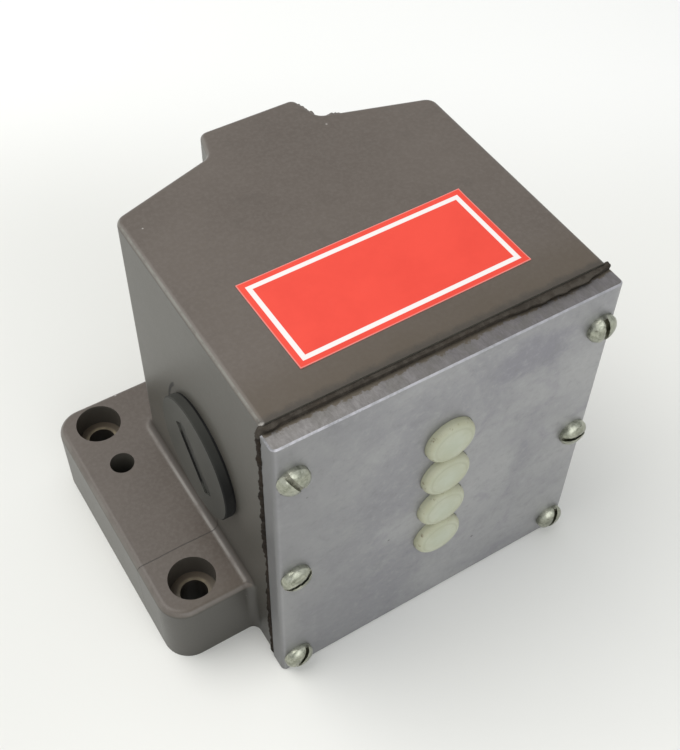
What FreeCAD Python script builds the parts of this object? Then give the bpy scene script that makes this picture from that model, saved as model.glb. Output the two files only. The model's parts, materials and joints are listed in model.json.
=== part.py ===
import FreeCAD
import Part
import math
import os

# A multiple limit switch: four spring-returned plungers in a row on a thick cover plate, each working
# its own switch element inside a cast housing that bolts down by a flange on its left side.
# Millimetres. +Z is up from the mounting base, -Y is the plunger side, +X runs to the viewer's right.
# The origin lies on the mounting base, under the plunger row and midway between the two fixing holes.

V = FreeCAD.Vector

# Fixing holes in the flange
HOLE_SPACING = 51.6
FRONT_HOLE_FROM_FACE = 22.4
HOLE_FROM_WALL = 11.5
HOLE_R = 3.3
SCREW_SEAT_R = 5.6
SCREW_SEAT_DEPTH = 6.8
PIN_HOLE_R = 3.0
PIN_FROM_REAR_HOLE = 14.1

# Housing casting
BODY_W = 80.2
BODY_H = 89.8
SIDE_DEPTH = 62.3
TAPER_DEPTH = 7.8
NOSE_DEPTH = 8.0
NOSE_ROOT_W = 28.2
NOSE_TIP_W = 24.2
WALL = 5.0
BACK_CORNER_R = 3.0
NOSE_ROOT_R = 2.5
NOSE_TIP_R = 2.0
TOP_EDGE_R = 1.2
CAVITY_CORNER_R = 3.0

# Mounting flange
FLANGE_REACH = 21.2
FLANGE_H = 20.0
FLANGE_SETBACK = 8.6
FLANGE_LENGTH = 67.1
FLANGE_CORNER_R = 6.5
FLANGE_EDGE_R = 1.6
FLANGE_COVE_R = 2.1

# Cover plate and its gasket
PLATE_T = 4.5
PLATE_OVERHANG = 0.65
PLATE_LOW_Z = 0.3
PLATE_BELOW_TOP = 1.4
PLATE_CORNER_R = 1.2
PLATE_EDGE_CHAMFER = 0.35
GASKET_T = 1.0
GASKET_RIM_W = 8.6
GASKET_BELOW_TOP = 0.5

# Cover screws, slotted cheese heads, with the turn of each slot from the +X axis in degrees
COVER_SCREW_FROM_SIDE = 3.3
COVER_SCREW_FROM_LOW_END = 5.0
COVER_SCREW_FROM_TOP_END = 11.0
COVER_SCREW_R = 2.0
COVER_SCREW_LENGTH = 16.0
COVER_HEAD_R = 3.5
COVER_HEAD_H = 2.6
COVER_HEAD_CROWN = 1.2
COVER_CROWN_W = 1.7
COVER_SLOT_W = 1.1
COVER_SLOT_DEPTH = 1.2
COVER_BOSS_R = 4.6
LEFT_SLOT_TURNS = (54, 21, 119)
RIGHT_SLOT_TURNS = (71, -2, 93)

# Cable entry and the blanking plug that closes it
ENTRY_FROM_FRONT = 28.7
ENTRY_ABOVE_MIDDLE = 1.6
ENTRY_BOSS_R = 16.5
ENTRY_BOSS_DEPTH = 5.0
PLUG_SHANK_R = 11.2
PLUG_SHANK_LENGTH = 9.5
PLUG_HOLLOW_R = 8.5
PLUG_HEAD_R = 15.0
PLUG_HEAD_H = 2.1
PLUG_EDGE_CHAMFER = 0.25
PLUG_SLOT_LENGTH = 18.0
PLUG_SLOT_W = 4.4
PLUG_SLOT_DEPTH = 0.45
PLUG_SLOT_TURN = 49.5
PLUG_FLOOR_T = 3.0
PLUG_SEAL_T = 0.5
PLUG_SEAL_INSET = 0.2

# Plungers
PLUNGER_COUNT = 4
PITCH = 12.0
ROW_ABOVE_MIDDLE = 1.4
TRAVEL = 3.0
HEAD_GAP = 0.2
HEAD_PROUD = 2.0
HEAD_BEVEL_W = 1.4
HEAD_BEVEL_H = 1.1
COLLAR_W = 17.0
COLLAR_T = 2.0
STEM_R = 3.0

# Plunger guide behind the cover plate, with a seal round each stem
GUIDE_W = 28.0
GUIDE_BEARING_LENGTH = 9.0
GUIDE_END_GAP = 1.0
GUIDE_CORNER_R = 3.0
GUIDE_SCREW_R = 1.5
GUIDE_SCREW_BITE_DEPTH = 2.8
SEAL_R = 5.0
SEAL_T = 2.3

# Switch elements, one tray per plunger, stacked to a lid
CASE_BEHIND_GUIDE = 4.4
CASE_W = 46.0
CASE_NECK_DEPTH = 7.0
CASE_DEPTH = 30.0
CASE_FLOOR_T = 2.0
CASE_FRONT_WALL = 4.0
CASE_BACK_WALL = 4.0
NECK_WALL = 3.0
POCKET_SIDE_WALL = 9.5
LID_T = 1.5

# Moving contact of each element
CARRIER_PIN_OUT = 1.2
CARRIER_W = 8.0
CARRIER_H = 7.0
CARRIER_FRONT_SPACE = 0.5
CARRIER_BACK_T = 4.0
SPIGOT_R = 1.7
SPIGOT_LENGTH = 2.0
BRIDGE_END_GAP = 1.5
BRIDGE_H = 5.0
BRIDGE_T = 1.0
SPRING_MEAN_R = 2.7
SPRING_WIRE_W = 0.9
SPRING_TURNS = 3

# Fixed contacts and terminals
STRIP_T = 1.0
STRIP_H = 5.0
STRIP_FROM_CASE_SIDE = 1.5
STRIP_PAST_TIP = 0.6
TIP_R = 1.9
TIP_FROM_BRIDGE_END = 3.0
TIP_T = 0.6
TERMINAL_FROM_CASE_SIDE = 5.6
TERMINAL_R = 1.5
TERMINAL_LENGTH = 12.0
TERMINAL_HEAD_R = 2.7
TERMINAL_HEAD_H = 2.0
CLAMP_W = 6.4
CLAMP_T = 1.2
CLAMP_NECK_GAP = 1.7

# Bracket that carries the stack, its screws, and the bolts through the trays
FRAME_T = 1.5
FRAME_LEG_DEPTH = 20.0
FRAME_EAR_H = 12.0
FRAME_EAR_EDGE = 3.6
FRAME_SCREW_SPACING_Z = 28.0
FRAME_SCREW_R = 2.0
FRAME_SCREW_LENGTH = 9.0
FRAME_HEAD_R = 3.5
FRAME_HEAD_H = 2.4
FRAME_BOSS_R = 4.5
STACK_BOLT_FROM_CASE_SIDE = 4.5
STACK_BOLT_FROM_BACK = 7.0
STACK_BOLT_R = 1.5
STACK_HEAD_R = 2.75
STACK_HEAD_H = 2.2
STACK_NUT_W = 5.5
STACK_NUT_H = 2.4
STACK_BOLT_TAIL_LENGTH = 0.6

# Earth terminal on a boss of the housing floor
EARTH_FROM_WALL = 8.0
EARTH_FROM_FRONT = 25.0
EARTH_BOSS_W = 10.0
EARTH_BOSS_H = 11.0
EARTH_BOSS_DEPTH = 14.0
EARTH_SCREW_R = 2.0
EARTH_SCREW_LENGTH = 9.0
EARTH_HEAD_R = 3.5
EARTH_HEAD_H = 2.4
EARTH_CLAMP_W = 8.0

# Clearances, and how far a cutter runs past a face
BORE_CLEARANCE = 0.12
STEM_CLEARANCE = 0.05
SCREW_CLEARANCE = 0.05
HOLE_CLEARANCE = 0.25
SLIDE_CLEARANCE = 0.3
STRIP_CLEARANCE = 0.05
HEAD_SIDE_GAP = 0.4
STOP_GAP = 0.1
OVERCUT = 1.0

# Depths, counted back from the cover plate's outer face
FACE_Y = -(FRONT_HOLE_FROM_FACE + HOLE_SPACING / 2)
PLATE_BACK_Y = FACE_Y + PLATE_T
HOUSING_FRONT_Y = PLATE_BACK_Y + GASKET_T
SIDE_END_Y = HOUSING_FRONT_Y + SIDE_DEPTH
TAPER_END_Y = SIDE_END_Y + TAPER_DEPTH
NOSE_Y = TAPER_END_Y + NOSE_DEPTH
ENTRY_Y = HOUSING_FRONT_Y + ENTRY_FROM_FRONT
EARTH_Y = HOUSING_FRONT_Y + EARTH_FROM_FRONT
COLLAR_Y = PLATE_BACK_Y + STOP_GAP
GUIDE_FLOOR_Y = COLLAR_Y + COLLAR_T + TRAVEL + SLIDE_CLEARANCE
GUIDE_BACK_Y = GUIDE_FLOOR_Y + GUIDE_BEARING_LENGTH
CASE_Y = GUIDE_BACK_Y + CASE_BEHIND_GUIDE
POCKET_Y = CASE_Y + CASE_FRONT_WALL
SHOULDER_Y = CASE_Y + CASE_NECK_DEPTH
STRIP_Y = SHOULDER_Y - STRIP_T
CLAMP_Y = STRIP_Y - CLAMP_T
CASE_BACK_Y = CASE_Y + CASE_DEPTH
POCKET_BACK_Y = CASE_BACK_Y - CASE_BACK_WALL
STEM_END_Y = CASE_Y - CARRIER_PIN_OUT
CARRIER_Y = POCKET_Y + CARRIER_FRONT_SPACE
BRIDGE_Y = SHOULDER_Y + TIP_T
CARRIER_BACK_Y = BRIDGE_Y + BRIDGE_T + CARRIER_BACK_T
STACK_BOLT_Y = CASE_BACK_Y - STACK_BOLT_FROM_BACK
FRAME_BACK_Y = CASE_BACK_Y + FRAME_T

# Widths
WALL_X = -BODY_W / 2
HOLE_X = WALL_X - HOLE_FROM_WALL
PLATE_HALF_W = BODY_W / 2 + PLATE_OVERHANG
COVER_SCREW_X = BODY_W / 2 - COVER_SCREW_FROM_SIDE
EARTH_X = BODY_W / 2 - WALL - EARTH_FROM_WALL
TERMINAL_X = CASE_W / 2 - TERMINAL_FROM_CASE_SIDE
NECK_HALF_W = TERMINAL_X - CLAMP_W / 2 - CLAMP_NECK_GAP
POCKET_HALF_W = CASE_W / 2 - POCKET_SIDE_WALL
BRIDGE_HALF = POCKET_HALF_W - BRIDGE_END_GAP
TIP_X = BRIDGE_HALF - TIP_FROM_BRIDGE_END
STRIP_INNER_X = TIP_X - TIP_R - STRIP_PAST_TIP
STRIP_OUTER_X = CASE_W / 2 - STRIP_FROM_CASE_SIDE
STACK_BOLT_X = CASE_W / 2 - STACK_BOLT_FROM_CASE_SIDE
FRAME_SCREW_X = CASE_W / 2 + FRAME_HEAD_R + HEAD_SIDE_GAP

# Heights
PLATE_TOP_Z = BODY_H - PLATE_BELOW_TOP
GASKET_TOP_Z = BODY_H - GASKET_BELOW_TOP
WINDOW_LOW_Z = PLATE_LOW_Z + GASKET_RIM_W
WINDOW_TOP_Z = GASKET_TOP_Z - GASKET_RIM_W
ENTRY_Z = BODY_H / 2 + ENTRY_ABOVE_MIDDLE
ROW_Z = BODY_H / 2 + ROW_ABOVE_MIDDLE
PLUNGER_Z = [ROW_Z + PITCH * (i - (PLUNGER_COUNT - 1) / 2) for i in range(PLUNGER_COUNT)]
HEAD_R = (PITCH - HEAD_GAP) / 2
STACK_LOW_Z = PLUNGER_Z[0] - PITCH / 2
STACK_TOP_Z = PLUNGER_Z[-1] + PITCH / 2
LID_TOP_Z = STACK_TOP_Z + LID_T
GUIDE_LOW_Z = WINDOW_LOW_Z + GUIDE_END_GAP
GUIDE_TOP_Z = WINDOW_TOP_Z - GUIDE_END_GAP
GUIDE_SCREW_Z = ((GUIDE_LOW_Z + STACK_LOW_Z) / 2, (GUIDE_TOP_Z + STACK_TOP_Z) / 2)
COVER_LOW_Z = PLATE_LOW_Z + COVER_SCREW_FROM_LOW_END
COVER_TOP_Z = PLATE_TOP_Z - COVER_SCREW_FROM_TOP_END
COVER_SCREW_Z = (COVER_LOW_Z, (COVER_LOW_Z + COVER_TOP_Z) / 2, COVER_TOP_Z)
FRAME_SCREW_Z = (ROW_Z - FRAME_SCREW_SPACING_Z / 2, ROW_Z + FRAME_SCREW_SPACING_Z / 2)
EARTH_Z = WALL + EARTH_BOSS_H / 2


def block(x0, x1, y0, y1, z0, z1):
    return Part.makeBox(x1 - x0, y1 - y0, z1 - z0, V(x0, y0, z0))


def centred_block(x, z, width, height, y0, y1):
    return block(x - width / 2, x + width / 2, y0, y1, z - height / 2, z + height / 2)


def rod_x(y, z, radius, x0, x1):
    return Part.makeCylinder(radius, x1 - x0, V(x0, y, z), V(1, 0, 0))


def rod_y(x, z, radius, y0, y1):
    return Part.makeCylinder(radius, y1 - y0, V(x, y0, z), V(0, 1, 0))


def rod_z(x, y, radius, z0, z1):
    return Part.makeCylinder(radius, z1 - z0, V(x, y, z0), V(0, 0, 1))


def through_y(x, z, radius, y0, y1):
    """Cutter for a hole along Y that runs past both faces."""
    return rod_y(x, z, radius, y0 - OVERCUT, y1 + OVERCUT)


def through_z(x, y, radius, z0, z1):
    return rod_z(x, y, radius, z0 - OVERCUT, z1 + OVERCUT)


def prism(outline, z0, z1):
    points = [V(x, y, z0) for x, y in outline]
    return Part.Face(Part.makePolygon(points + points[:1])).extrude(V(0, 0, z1 - z0))


def turned_y(profile, x, z):
    """Revolve straight-sided (radius, y) points about the line along Y through x and z."""
    points = [V(x + radius, y, z) for radius, y in profile]
    face = Part.Face(Part.makePolygon(points + points[:1]))
    return face.revolve(V(x, 0, z), V(0, 1, 0), 360)


def joined(first, others):
    return first.fuse(others).removeSplitter()


def both_sides(x):
    return (-x, x)


def upright_edges(shape, places):
    """Edges along Z that stand on any of the given (x, y) places."""
    found = []
    for edge in shape.Edges:
        a, b = edge.Vertexes[0].Point, edge.Vertexes[-1].Point
        upright = abs(a.x - b.x) < 1e-6 and abs(a.y - b.y) < 1e-6 and abs(a.z - b.z) > 1e-3
        if upright and any(math.hypot(a.x - x, a.y - y) < 1e-3 for x, y in places):
            found.append(edge)
    return found


def rim_edges(shape, z, wanted):
    """Edges lying at height z whose middle point is a wanted one."""
    found = []
    for edge in shape.Edges:
        middle = edge.valueAt((edge.FirstParameter + edge.LastParameter) / 2)
        level = all(abs(p.z - z) < 1e-4 for p in [middle] + [v.Point for v in edge.Vertexes])
        if level and wanted(middle):
            found.append(edge)
    return found


def cover_screw_places():
    return [(x, z) for x in both_sides(COVER_SCREW_X) for z in COVER_SCREW_Z]


def frame_screw_places():
    return [(x, z) for x in both_sides(FRAME_SCREW_X) for z in FRAME_SCREW_Z]


def terminal_places():
    return [(x, z) for z in PLUNGER_Z for x in both_sides(TERMINAL_X)]


def cheese_head_screw(x, z, seat_y, head_r, head_h, shank_r, length):
    """A screw along Y whose plain round head stands in front of its seat."""
    head = rod_y(x, z, head_r, seat_y - head_h, seat_y)
    return joined(head, [rod_y(x, z, shank_r, seat_y, seat_y + length)])


def housing_plan(front_y):
    """Plan of the body without its nose: straight sides, then both flanks close in towards the nose."""
    half, root = BODY_W / 2, NOSE_ROOT_W / 2
    return [(-half, front_y), (-half, SIDE_END_Y), (-root, TAPER_END_Y),
            (root, TAPER_END_Y), (half, SIDE_END_Y), (half, front_y)]


def body_block():
    """Body and tapered nose, with rounded upright corners and a small round along the top edge."""
    plan = housing_plan(HOUSING_FRONT_Y)
    nose = [(x, NOSE_Y) for x in both_sides(NOSE_TIP_W / 2)]
    body = prism(plan[:3] + nose + plan[3:], 0, BODY_H)
    body = body.makeFillet(BACK_CORNER_R, upright_edges(body, [plan[1], plan[4]]))
    body = body.makeFillet(NOSE_ROOT_R, upright_edges(body, plan[2:4]))
    body = body.makeFillet(NOSE_TIP_R, upright_edges(body, nose))
    return body.makeFillet(TOP_EDGE_R, rim_edges(body, BODY_H, lambda p: p.y > HOUSING_FRONT_Y + 1e-3))


def flange_block():
    """Low foot on the left, carried round the back corner to the nose, with its outer edges rounded."""
    left, inside, nose = WALL_X - FLANGE_REACH, WALL_X + WALL, -NOSE_TIP_W / 2
    front = HOUSING_FRONT_Y + FLANGE_SETBACK
    back = front + FLANGE_LENGTH
    outline = [(left, front), (left, back), (nose, back),
               (nose, SIDE_END_Y), (inside, SIDE_END_Y), (inside, front)]
    flange = prism(outline, 0, FLANGE_H)
    flange = flange.makeFillet(FLANGE_CORNER_R, upright_edges(flange, outline[:2]))

    def outer(p):
        return p.x < WALL_X - 1e-3 or p.y > back - 1e-3 or p.y < front + 1e-3

    return flange.makeFillet(FLANGE_EDGE_R, rim_edges(flange, FLANGE_H, outer))


def housing_envelope():
    """Outside of the casting, with the cove where the side wall meets the flange."""
    whole = joined(body_block(), [flange_block()])
    return whole.makeFillet(FLANGE_COVE_R, rim_edges(whole, FLANGE_H, lambda p: abs(p.x - WALL_X) < 1e-3))


def housing_cavity():
    """Inside of the casting: the plan moved in by one wall, left open at the front."""
    plan = [V(x, y, WALL) for x, y in housing_plan(HOUSING_FRONT_Y - WALL - OVERCUT)]
    inner = Part.makePolygon(plan + plan[:1]).makeOffset2D(-WALL, 2)
    cavity = Part.Face(inner).extrude(V(0, 0, BODY_H - 2 * WALL))
    corners = [(v.Point.x, v.Point.y) for v in cavity.Vertexes if v.Point.y > HOUSING_FRONT_Y]
    return cavity.makeFillet(CAVITY_CORNER_R, upright_edges(cavity, corners))


def housing_bosses():
    cover_end = HOUSING_FRONT_Y + COVER_SCREW_LENGTH + WALL
    bosses = [rod_y(x, z, COVER_BOSS_R, HOUSING_FRONT_Y, cover_end) for x, z in cover_screw_places()]
    bosses += [rod_y(x, z, FRAME_BOSS_R, FRAME_BACK_Y, TAPER_END_Y) for x, z in frame_screw_places()]
    bosses.append(rod_x(ENTRY_Y, ENTRY_Z, ENTRY_BOSS_R, WALL_X, WALL_X + WALL + ENTRY_BOSS_DEPTH))
    bosses.append(block(EARTH_X - EARTH_BOSS_W / 2, EARTH_X + EARTH_BOSS_W / 2,
                        EARTH_Y, EARTH_Y + EARTH_BOSS_DEPTH, 0, WALL + EARTH_BOSS_H))
    return bosses


def housing_holes():
    tapped = COVER_SCREW_R + SCREW_CLEARANCE
    holes = [through_y(x, z, tapped, HOUSING_FRONT_Y, HOUSING_FRONT_Y + COVER_SCREW_LENGTH)
             for x, z in cover_screw_places()]
    holes += [through_y(x, z, FRAME_SCREW_R + SCREW_CLEARANCE, FRAME_BACK_Y, CASE_BACK_Y + FRAME_SCREW_LENGTH)
              for x, z in frame_screw_places()]
    holes.append(through_y(EARTH_X, EARTH_Z, EARTH_SCREW_R + SCREW_CLEARANCE,
                           EARTH_Y, EARTH_Y + EARTH_SCREW_LENGTH))
    entry_end = WALL_X + WALL + ENTRY_BOSS_DEPTH + OVERCUT
    holes.append(rod_x(ENTRY_Y, ENTRY_Z, PLUG_SHANK_R + SCREW_CLEARANCE, WALL_X - OVERCUT, entry_end))
    for y in both_sides(HOLE_SPACING / 2):
        holes.append(through_z(HOLE_X, y, HOLE_R, 0, FLANGE_H))
        holes.append(rod_z(HOLE_X, y, SCREW_SEAT_R, FLANGE_H - SCREW_SEAT_DEPTH, FLANGE_H + OVERCUT))
    holes.append(through_z(HOLE_X, HOLE_SPACING / 2 - PIN_FROM_REAR_HOLE, PIN_HOLE_R, 0, FLANGE_H))
    return holes


def housing():
    envelope = housing_envelope()
    bosses = [boss.common(envelope) for boss in housing_bosses()]
    return joined(envelope.cut(housing_cavity()), bosses).cut(housing_holes())


def cover_plate():
    """Thick plate with rounded upright edges, a broken top edge, and one bore for each plunger head."""
    plate = block(-PLATE_HALF_W, PLATE_HALF_W, FACE_Y, PLATE_BACK_Y, PLATE_LOW_Z, PLATE_TOP_Z)
    front_corners = [(x, FACE_Y) for x in both_sides(PLATE_HALF_W)]
    plate = plate.makeFillet(PLATE_CORNER_R, upright_edges(plate, front_corners))
    top_edge = rim_edges(plate, PLATE_TOP_Z, lambda p: p.y < FACE_Y + 1e-3)
    plate = plate.makeChamfer(PLATE_EDGE_CHAMFER, top_edge)
    holes = [through_y(x, z, COVER_SCREW_R + HOLE_CLEARANCE, FACE_Y, PLATE_BACK_Y)
             for x, z in cover_screw_places()]
    holes += [through_y(0, z, HEAD_R + BORE_CLEARANCE, FACE_Y, PLATE_BACK_Y) for z in PLUNGER_Z]
    bite_y = PLATE_BACK_Y - GUIDE_SCREW_BITE_DEPTH - SCREW_CLEARANCE
    holes += [rod_y(0, z, GUIDE_SCREW_R + SCREW_CLEARANCE, bite_y, PLATE_BACK_Y + OVERCUT)
              for z in GUIDE_SCREW_Z]
    return plate.cut(holes)


def cover_gasket():
    half, inner = BODY_W / 2, BODY_W / 2 - GASKET_RIM_W
    sheet = block(-half, half, PLATE_BACK_Y, HOUSING_FRONT_Y, PLATE_LOW_Z, GASKET_TOP_Z)
    window = block(-inner, inner, PLATE_BACK_Y - OVERCUT, HOUSING_FRONT_Y + OVERCUT,
                   WINDOW_LOW_Z, WINDOW_TOP_Z)
    holes = [through_y(x, z, COVER_SCREW_R + HOLE_CLEARANCE, PLATE_BACK_Y, HOUSING_FRONT_Y)
             for x, z in cover_screw_places()]
    return sheet.cut([window] + holes)


def cover_screw(x, z, turn):
    """Cheese head with a bevelled crown and a driving slot turned as it was left when tightened."""
    front = FACE_Y - COVER_HEAD_H
    rim_y = front + COVER_HEAD_CROWN
    head = turned_y([(0, front), (COVER_HEAD_R - COVER_CROWN_W, front), (COVER_HEAD_R, rim_y),
                     (COVER_HEAD_R, FACE_Y), (0, FACE_Y)], x, z)
    slot = centred_block(x, z, 2 * (COVER_HEAD_R + OVERCUT), COVER_SLOT_W,
                         front - OVERCUT, front + COVER_SLOT_DEPTH)
    slot.rotate(V(x, front, z), V(0, 1, 0), -turn)
    return joined(head, [rod_y(x, z, COVER_SCREW_R, FACE_Y, FACE_Y + COVER_SCREW_LENGTH)]).cut(slot)


def cover_screws():
    turns = LEFT_SLOT_TURNS + RIGHT_SLOT_TURNS
    return Part.makeCompound([cover_screw(x, z, turn) for (x, z), turn in zip(cover_screw_places(), turns)])


def cable_entry_plug():
    """Moulded blanking plug: a flat head with a coin slot, and a hollow shank in the entry."""
    head_x = WALL_X - PLUG_SEAL_T
    front_x, shank_end = head_x - PLUG_HEAD_H, head_x + PLUG_SHANK_LENGTH
    head = rod_x(ENTRY_Y, ENTRY_Z, PLUG_HEAD_R, front_x, head_x)
    head = head.makeChamfer(PLUG_EDGE_CHAMFER, [e for e in head.Edges if e.BoundBox.XMax < front_x + 1e-3])
    plug = joined(head, [rod_x(ENTRY_Y, ENTRY_Z, PLUG_SHANK_R, head_x, shank_end)])
    hollow = rod_x(ENTRY_Y, ENTRY_Z, PLUG_HOLLOW_R, front_x + PLUG_FLOOR_T, shank_end + OVERCUT)
    half_length, half_width = PLUG_SLOT_LENGTH / 2, PLUG_SLOT_W / 2
    slot = block(front_x - OVERCUT, front_x + PLUG_SLOT_DEPTH, ENTRY_Y - half_length, ENTRY_Y + half_length,
                 ENTRY_Z - half_width, ENTRY_Z + half_width)
    slot.rotate(V(0, ENTRY_Y, ENTRY_Z), V(1, 0, 0), PLUG_SLOT_TURN)
    return plug.cut([hollow, slot])


def plug_seal():
    outer_x = WALL_X - PLUG_SEAL_T
    ring = rod_x(ENTRY_Y, ENTRY_Z, PLUG_HEAD_R - PLUG_SEAL_INSET, outer_x, WALL_X)
    shank_hole_r = PLUG_SHANK_R + SCREW_CLEARANCE
    return ring.cut(rod_x(ENTRY_Y, ENTRY_Z, shank_hole_r, outer_x - OVERCUT, WALL_X + OVERCUT))


def plunger(z):
    """Button head with a wide bevel, a collar that stops it behind the plate, and the guided stem."""
    front = FACE_Y - HEAD_PROUD
    head = turned_y([(0, front), (HEAD_R - HEAD_BEVEL_W, front), (HEAD_R, front + HEAD_BEVEL_H),
                     (HEAD_R, COLLAR_Y), (0, COLLAR_Y)], 0, z)
    collar = centred_block(0, z, COLLAR_W, 2 * HEAD_R, COLLAR_Y, COLLAR_Y + COLLAR_T)
    return joined(head, [collar, rod_y(0, z, STEM_R, COLLAR_Y + COLLAR_T, STEM_END_Y)])


def plunger_guide():
    """Block behind the plate: a pocket where the collars travel, then one bearing and seal seat per stem."""
    body = block(-GUIDE_W / 2, GUIDE_W / 2, PLATE_BACK_Y, GUIDE_BACK_Y, GUIDE_LOW_Z, GUIDE_TOP_Z)
    length = GUIDE_BACK_Y - PLATE_BACK_Y
    body = body.makeFillet(GUIDE_CORNER_R, [e for e in body.Edges if abs(e.BoundBox.YLength - length) < 1e-4])
    pocket_half = COLLAR_W / 2 + SLIDE_CLEARANCE
    cuts = [block(-pocket_half, pocket_half, PLATE_BACK_Y - OVERCUT, GUIDE_FLOOR_Y,
                  STACK_LOW_Z - SLIDE_CLEARANCE, STACK_TOP_Z + SLIDE_CLEARANCE)]
    for z in PLUNGER_Z:
        cuts.append(through_y(0, z, STEM_R + STEM_CLEARANCE, GUIDE_FLOOR_Y, GUIDE_BACK_Y))
        cuts.append(rod_y(0, z, SEAL_R, GUIDE_FLOOR_Y - OVERCUT, GUIDE_FLOOR_Y + SEAL_T))
    for z in GUIDE_SCREW_Z:
        cuts.append(through_y(0, z, GUIDE_SCREW_R + SCREW_CLEARANCE, PLATE_BACK_Y, GUIDE_BACK_Y))
    return body.cut(cuts)


def guide_screws():
    """Screws from behind, through the guide's ends into blind holes of the cover plate."""
    tip_y = PLATE_BACK_Y - GUIDE_SCREW_BITE_DEPTH
    screws = [joined(rod_y(0, z, GUIDE_SCREW_R, tip_y, GUIDE_BACK_Y),
                     [rod_y(0, z, TERMINAL_HEAD_R, GUIDE_BACK_Y, GUIDE_BACK_Y + TERMINAL_HEAD_H)])
              for z in GUIDE_SCREW_Z]
    return Part.makeCompound(screws)


def stem_seals():
    rings = [rod_y(0, z, SEAL_R, GUIDE_FLOOR_Y, GUIDE_FLOOR_Y + SEAL_T).cut(
        through_y(0, z, STEM_R + STEM_CLEARANCE, GUIDE_FLOOR_Y, GUIDE_FLOOR_Y + SEAL_T)) for z in PLUNGER_Z]
    return Part.makeCompound(rings)


def case_plan():
    """Plan of a switch element: a neck that guides the pin, then a wider part with terminal shoulders."""
    wide, neck = CASE_W / 2, NECK_HALF_W
    return [(-neck, CASE_Y), (-neck, SHOULDER_Y), (-wide, SHOULDER_Y), (-wide, CASE_BACK_Y),
            (wide, CASE_BACK_Y), (wide, SHOULDER_Y), (neck, SHOULDER_Y), (neck, CASE_Y)]


def stack_bolt_holes(z0, z1):
    radius = STACK_BOLT_R + SCREW_CLEARANCE
    return [through_z(x, STACK_BOLT_Y, radius, z0, z1) for x in both_sides(STACK_BOLT_X)]


def switch_case(z):
    """Tray open at the top, closed by the floor of the tray above it or by the lid."""
    low, top = z - PITCH / 2, z + PITCH / 2
    floor, neck_half = low + CASE_FLOOR_T, NECK_HALF_W - NECK_WALL
    cuts = [block(-POCKET_HALF_W, POCKET_HALF_W, SHOULDER_Y, POCKET_BACK_Y, floor, top + OVERCUT)]
    cuts.append(block(-neck_half, neck_half, POCKET_Y, SHOULDER_Y, floor, top + OVERCUT))
    cuts.append(block(-CASE_W, CASE_W, STRIP_Y - STRIP_CLEARANCE, SHOULDER_Y,
                      z - STRIP_H / 2 - STRIP_CLEARANCE, top + OVERCUT))
    cuts.append(through_y(0, z, STEM_R + STEM_CLEARANCE, CASE_Y, POCKET_Y))
    for x in both_sides(TERMINAL_X):
        cuts.append(through_y(x, z, TERMINAL_R + SCREW_CLEARANCE, SHOULDER_Y, CLAMP_Y + TERMINAL_LENGTH))
    return prism(case_plan(), low, top).cut(cuts + stack_bolt_holes(low, top))


def element_lid():
    return prism(case_plan(), STACK_TOP_Z, LID_TOP_Z).cut(stack_bolt_holes(STACK_TOP_Z, LID_TOP_Z))


def contact_carrier(z):
    """Insulating slider: the pin that meets the stem, a window for the bridge, and a spring spigot."""
    pin = rod_y(0, z, STEM_R, STEM_END_Y, CARRIER_Y)
    slider = centred_block(0, z, CARRIER_W, CARRIER_H, CARRIER_Y, CARRIER_BACK_Y)
    spigot = rod_y(0, z, SPIGOT_R, CARRIER_BACK_Y, CARRIER_BACK_Y + SPIGOT_LENGTH)
    window = centred_block(0, z, CARRIER_W + 2 * OVERCUT, BRIDGE_H + 2 * STRIP_CLEARANCE,
                           BRIDGE_Y, BRIDGE_Y + BRIDGE_T + STRIP_CLEARANCE)
    return joined(slider, [pin, spigot]).cut(window)


def contact_bridge(z):
    return centred_block(0, z, 2 * BRIDGE_HALF, BRIDGE_H, BRIDGE_Y, BRIDGE_Y + BRIDGE_T)


def return_spring(z):
    """Square-wire coil between the carrier and the back wall of its tray."""
    half = SPRING_WIRE_W / 2
    length = POCKET_BACK_Y - CARRIER_BACK_Y - SPRING_WIRE_W - 2 * STOP_GAP
    path = Part.Wire(Part.makeHelix(length / SPRING_TURNS, length, SPRING_MEAN_R))
    section = [V(SPRING_MEAN_R + x * half, 0, h * half) for x, h in ((-1, -1), (1, -1), (1, 1), (-1, 1))]
    coil = path.makePipeShell([Part.makePolygon(section + section[:1])], True, True)
    coil.rotate(V(0, 0, 0), V(1, 0, 0), -90)
    coil.translate(V(0, CARRIER_BACK_Y + STOP_GAP + half, z))
    return coil


def fixed_contacts(z):
    """Two strips from the terminal shoulders to the contact tips in front of the bridge."""
    middle, length = (STRIP_INNER_X + STRIP_OUTER_X) / 2, STRIP_OUTER_X - STRIP_INNER_X
    strips = []
    for side in (-1, 1):
        strip = centred_block(side * middle, z, length, STRIP_H, STRIP_Y, SHOULDER_Y)
        tip = rod_y(side * TIP_X, z, TIP_R, SHOULDER_Y, BRIDGE_Y)
        hole = through_y(side * TERMINAL_X, z, TERMINAL_R + SCREW_CLEARANCE, STRIP_Y, SHOULDER_Y)
        strips.append(joined(strip, [tip]).cut(hole))
    return Part.makeCompound(strips)


def terminal_clamps():
    clamps = []
    for x, z in terminal_places():
        clamp = centred_block(x, z, CLAMP_W, CLAMP_W, CLAMP_Y, STRIP_Y)
        clamps.append(clamp.cut(through_y(x, z, TERMINAL_R + SCREW_CLEARANCE, CLAMP_Y, STRIP_Y)))
    return Part.makeCompound(clamps)


def terminal_screws():
    sizes = (CLAMP_Y, TERMINAL_HEAD_R, TERMINAL_HEAD_H, TERMINAL_R, TERMINAL_LENGTH)
    return Part.makeCompound([cheese_head_screw(x, z, *sizes) for x, z in terminal_places()])


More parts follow.
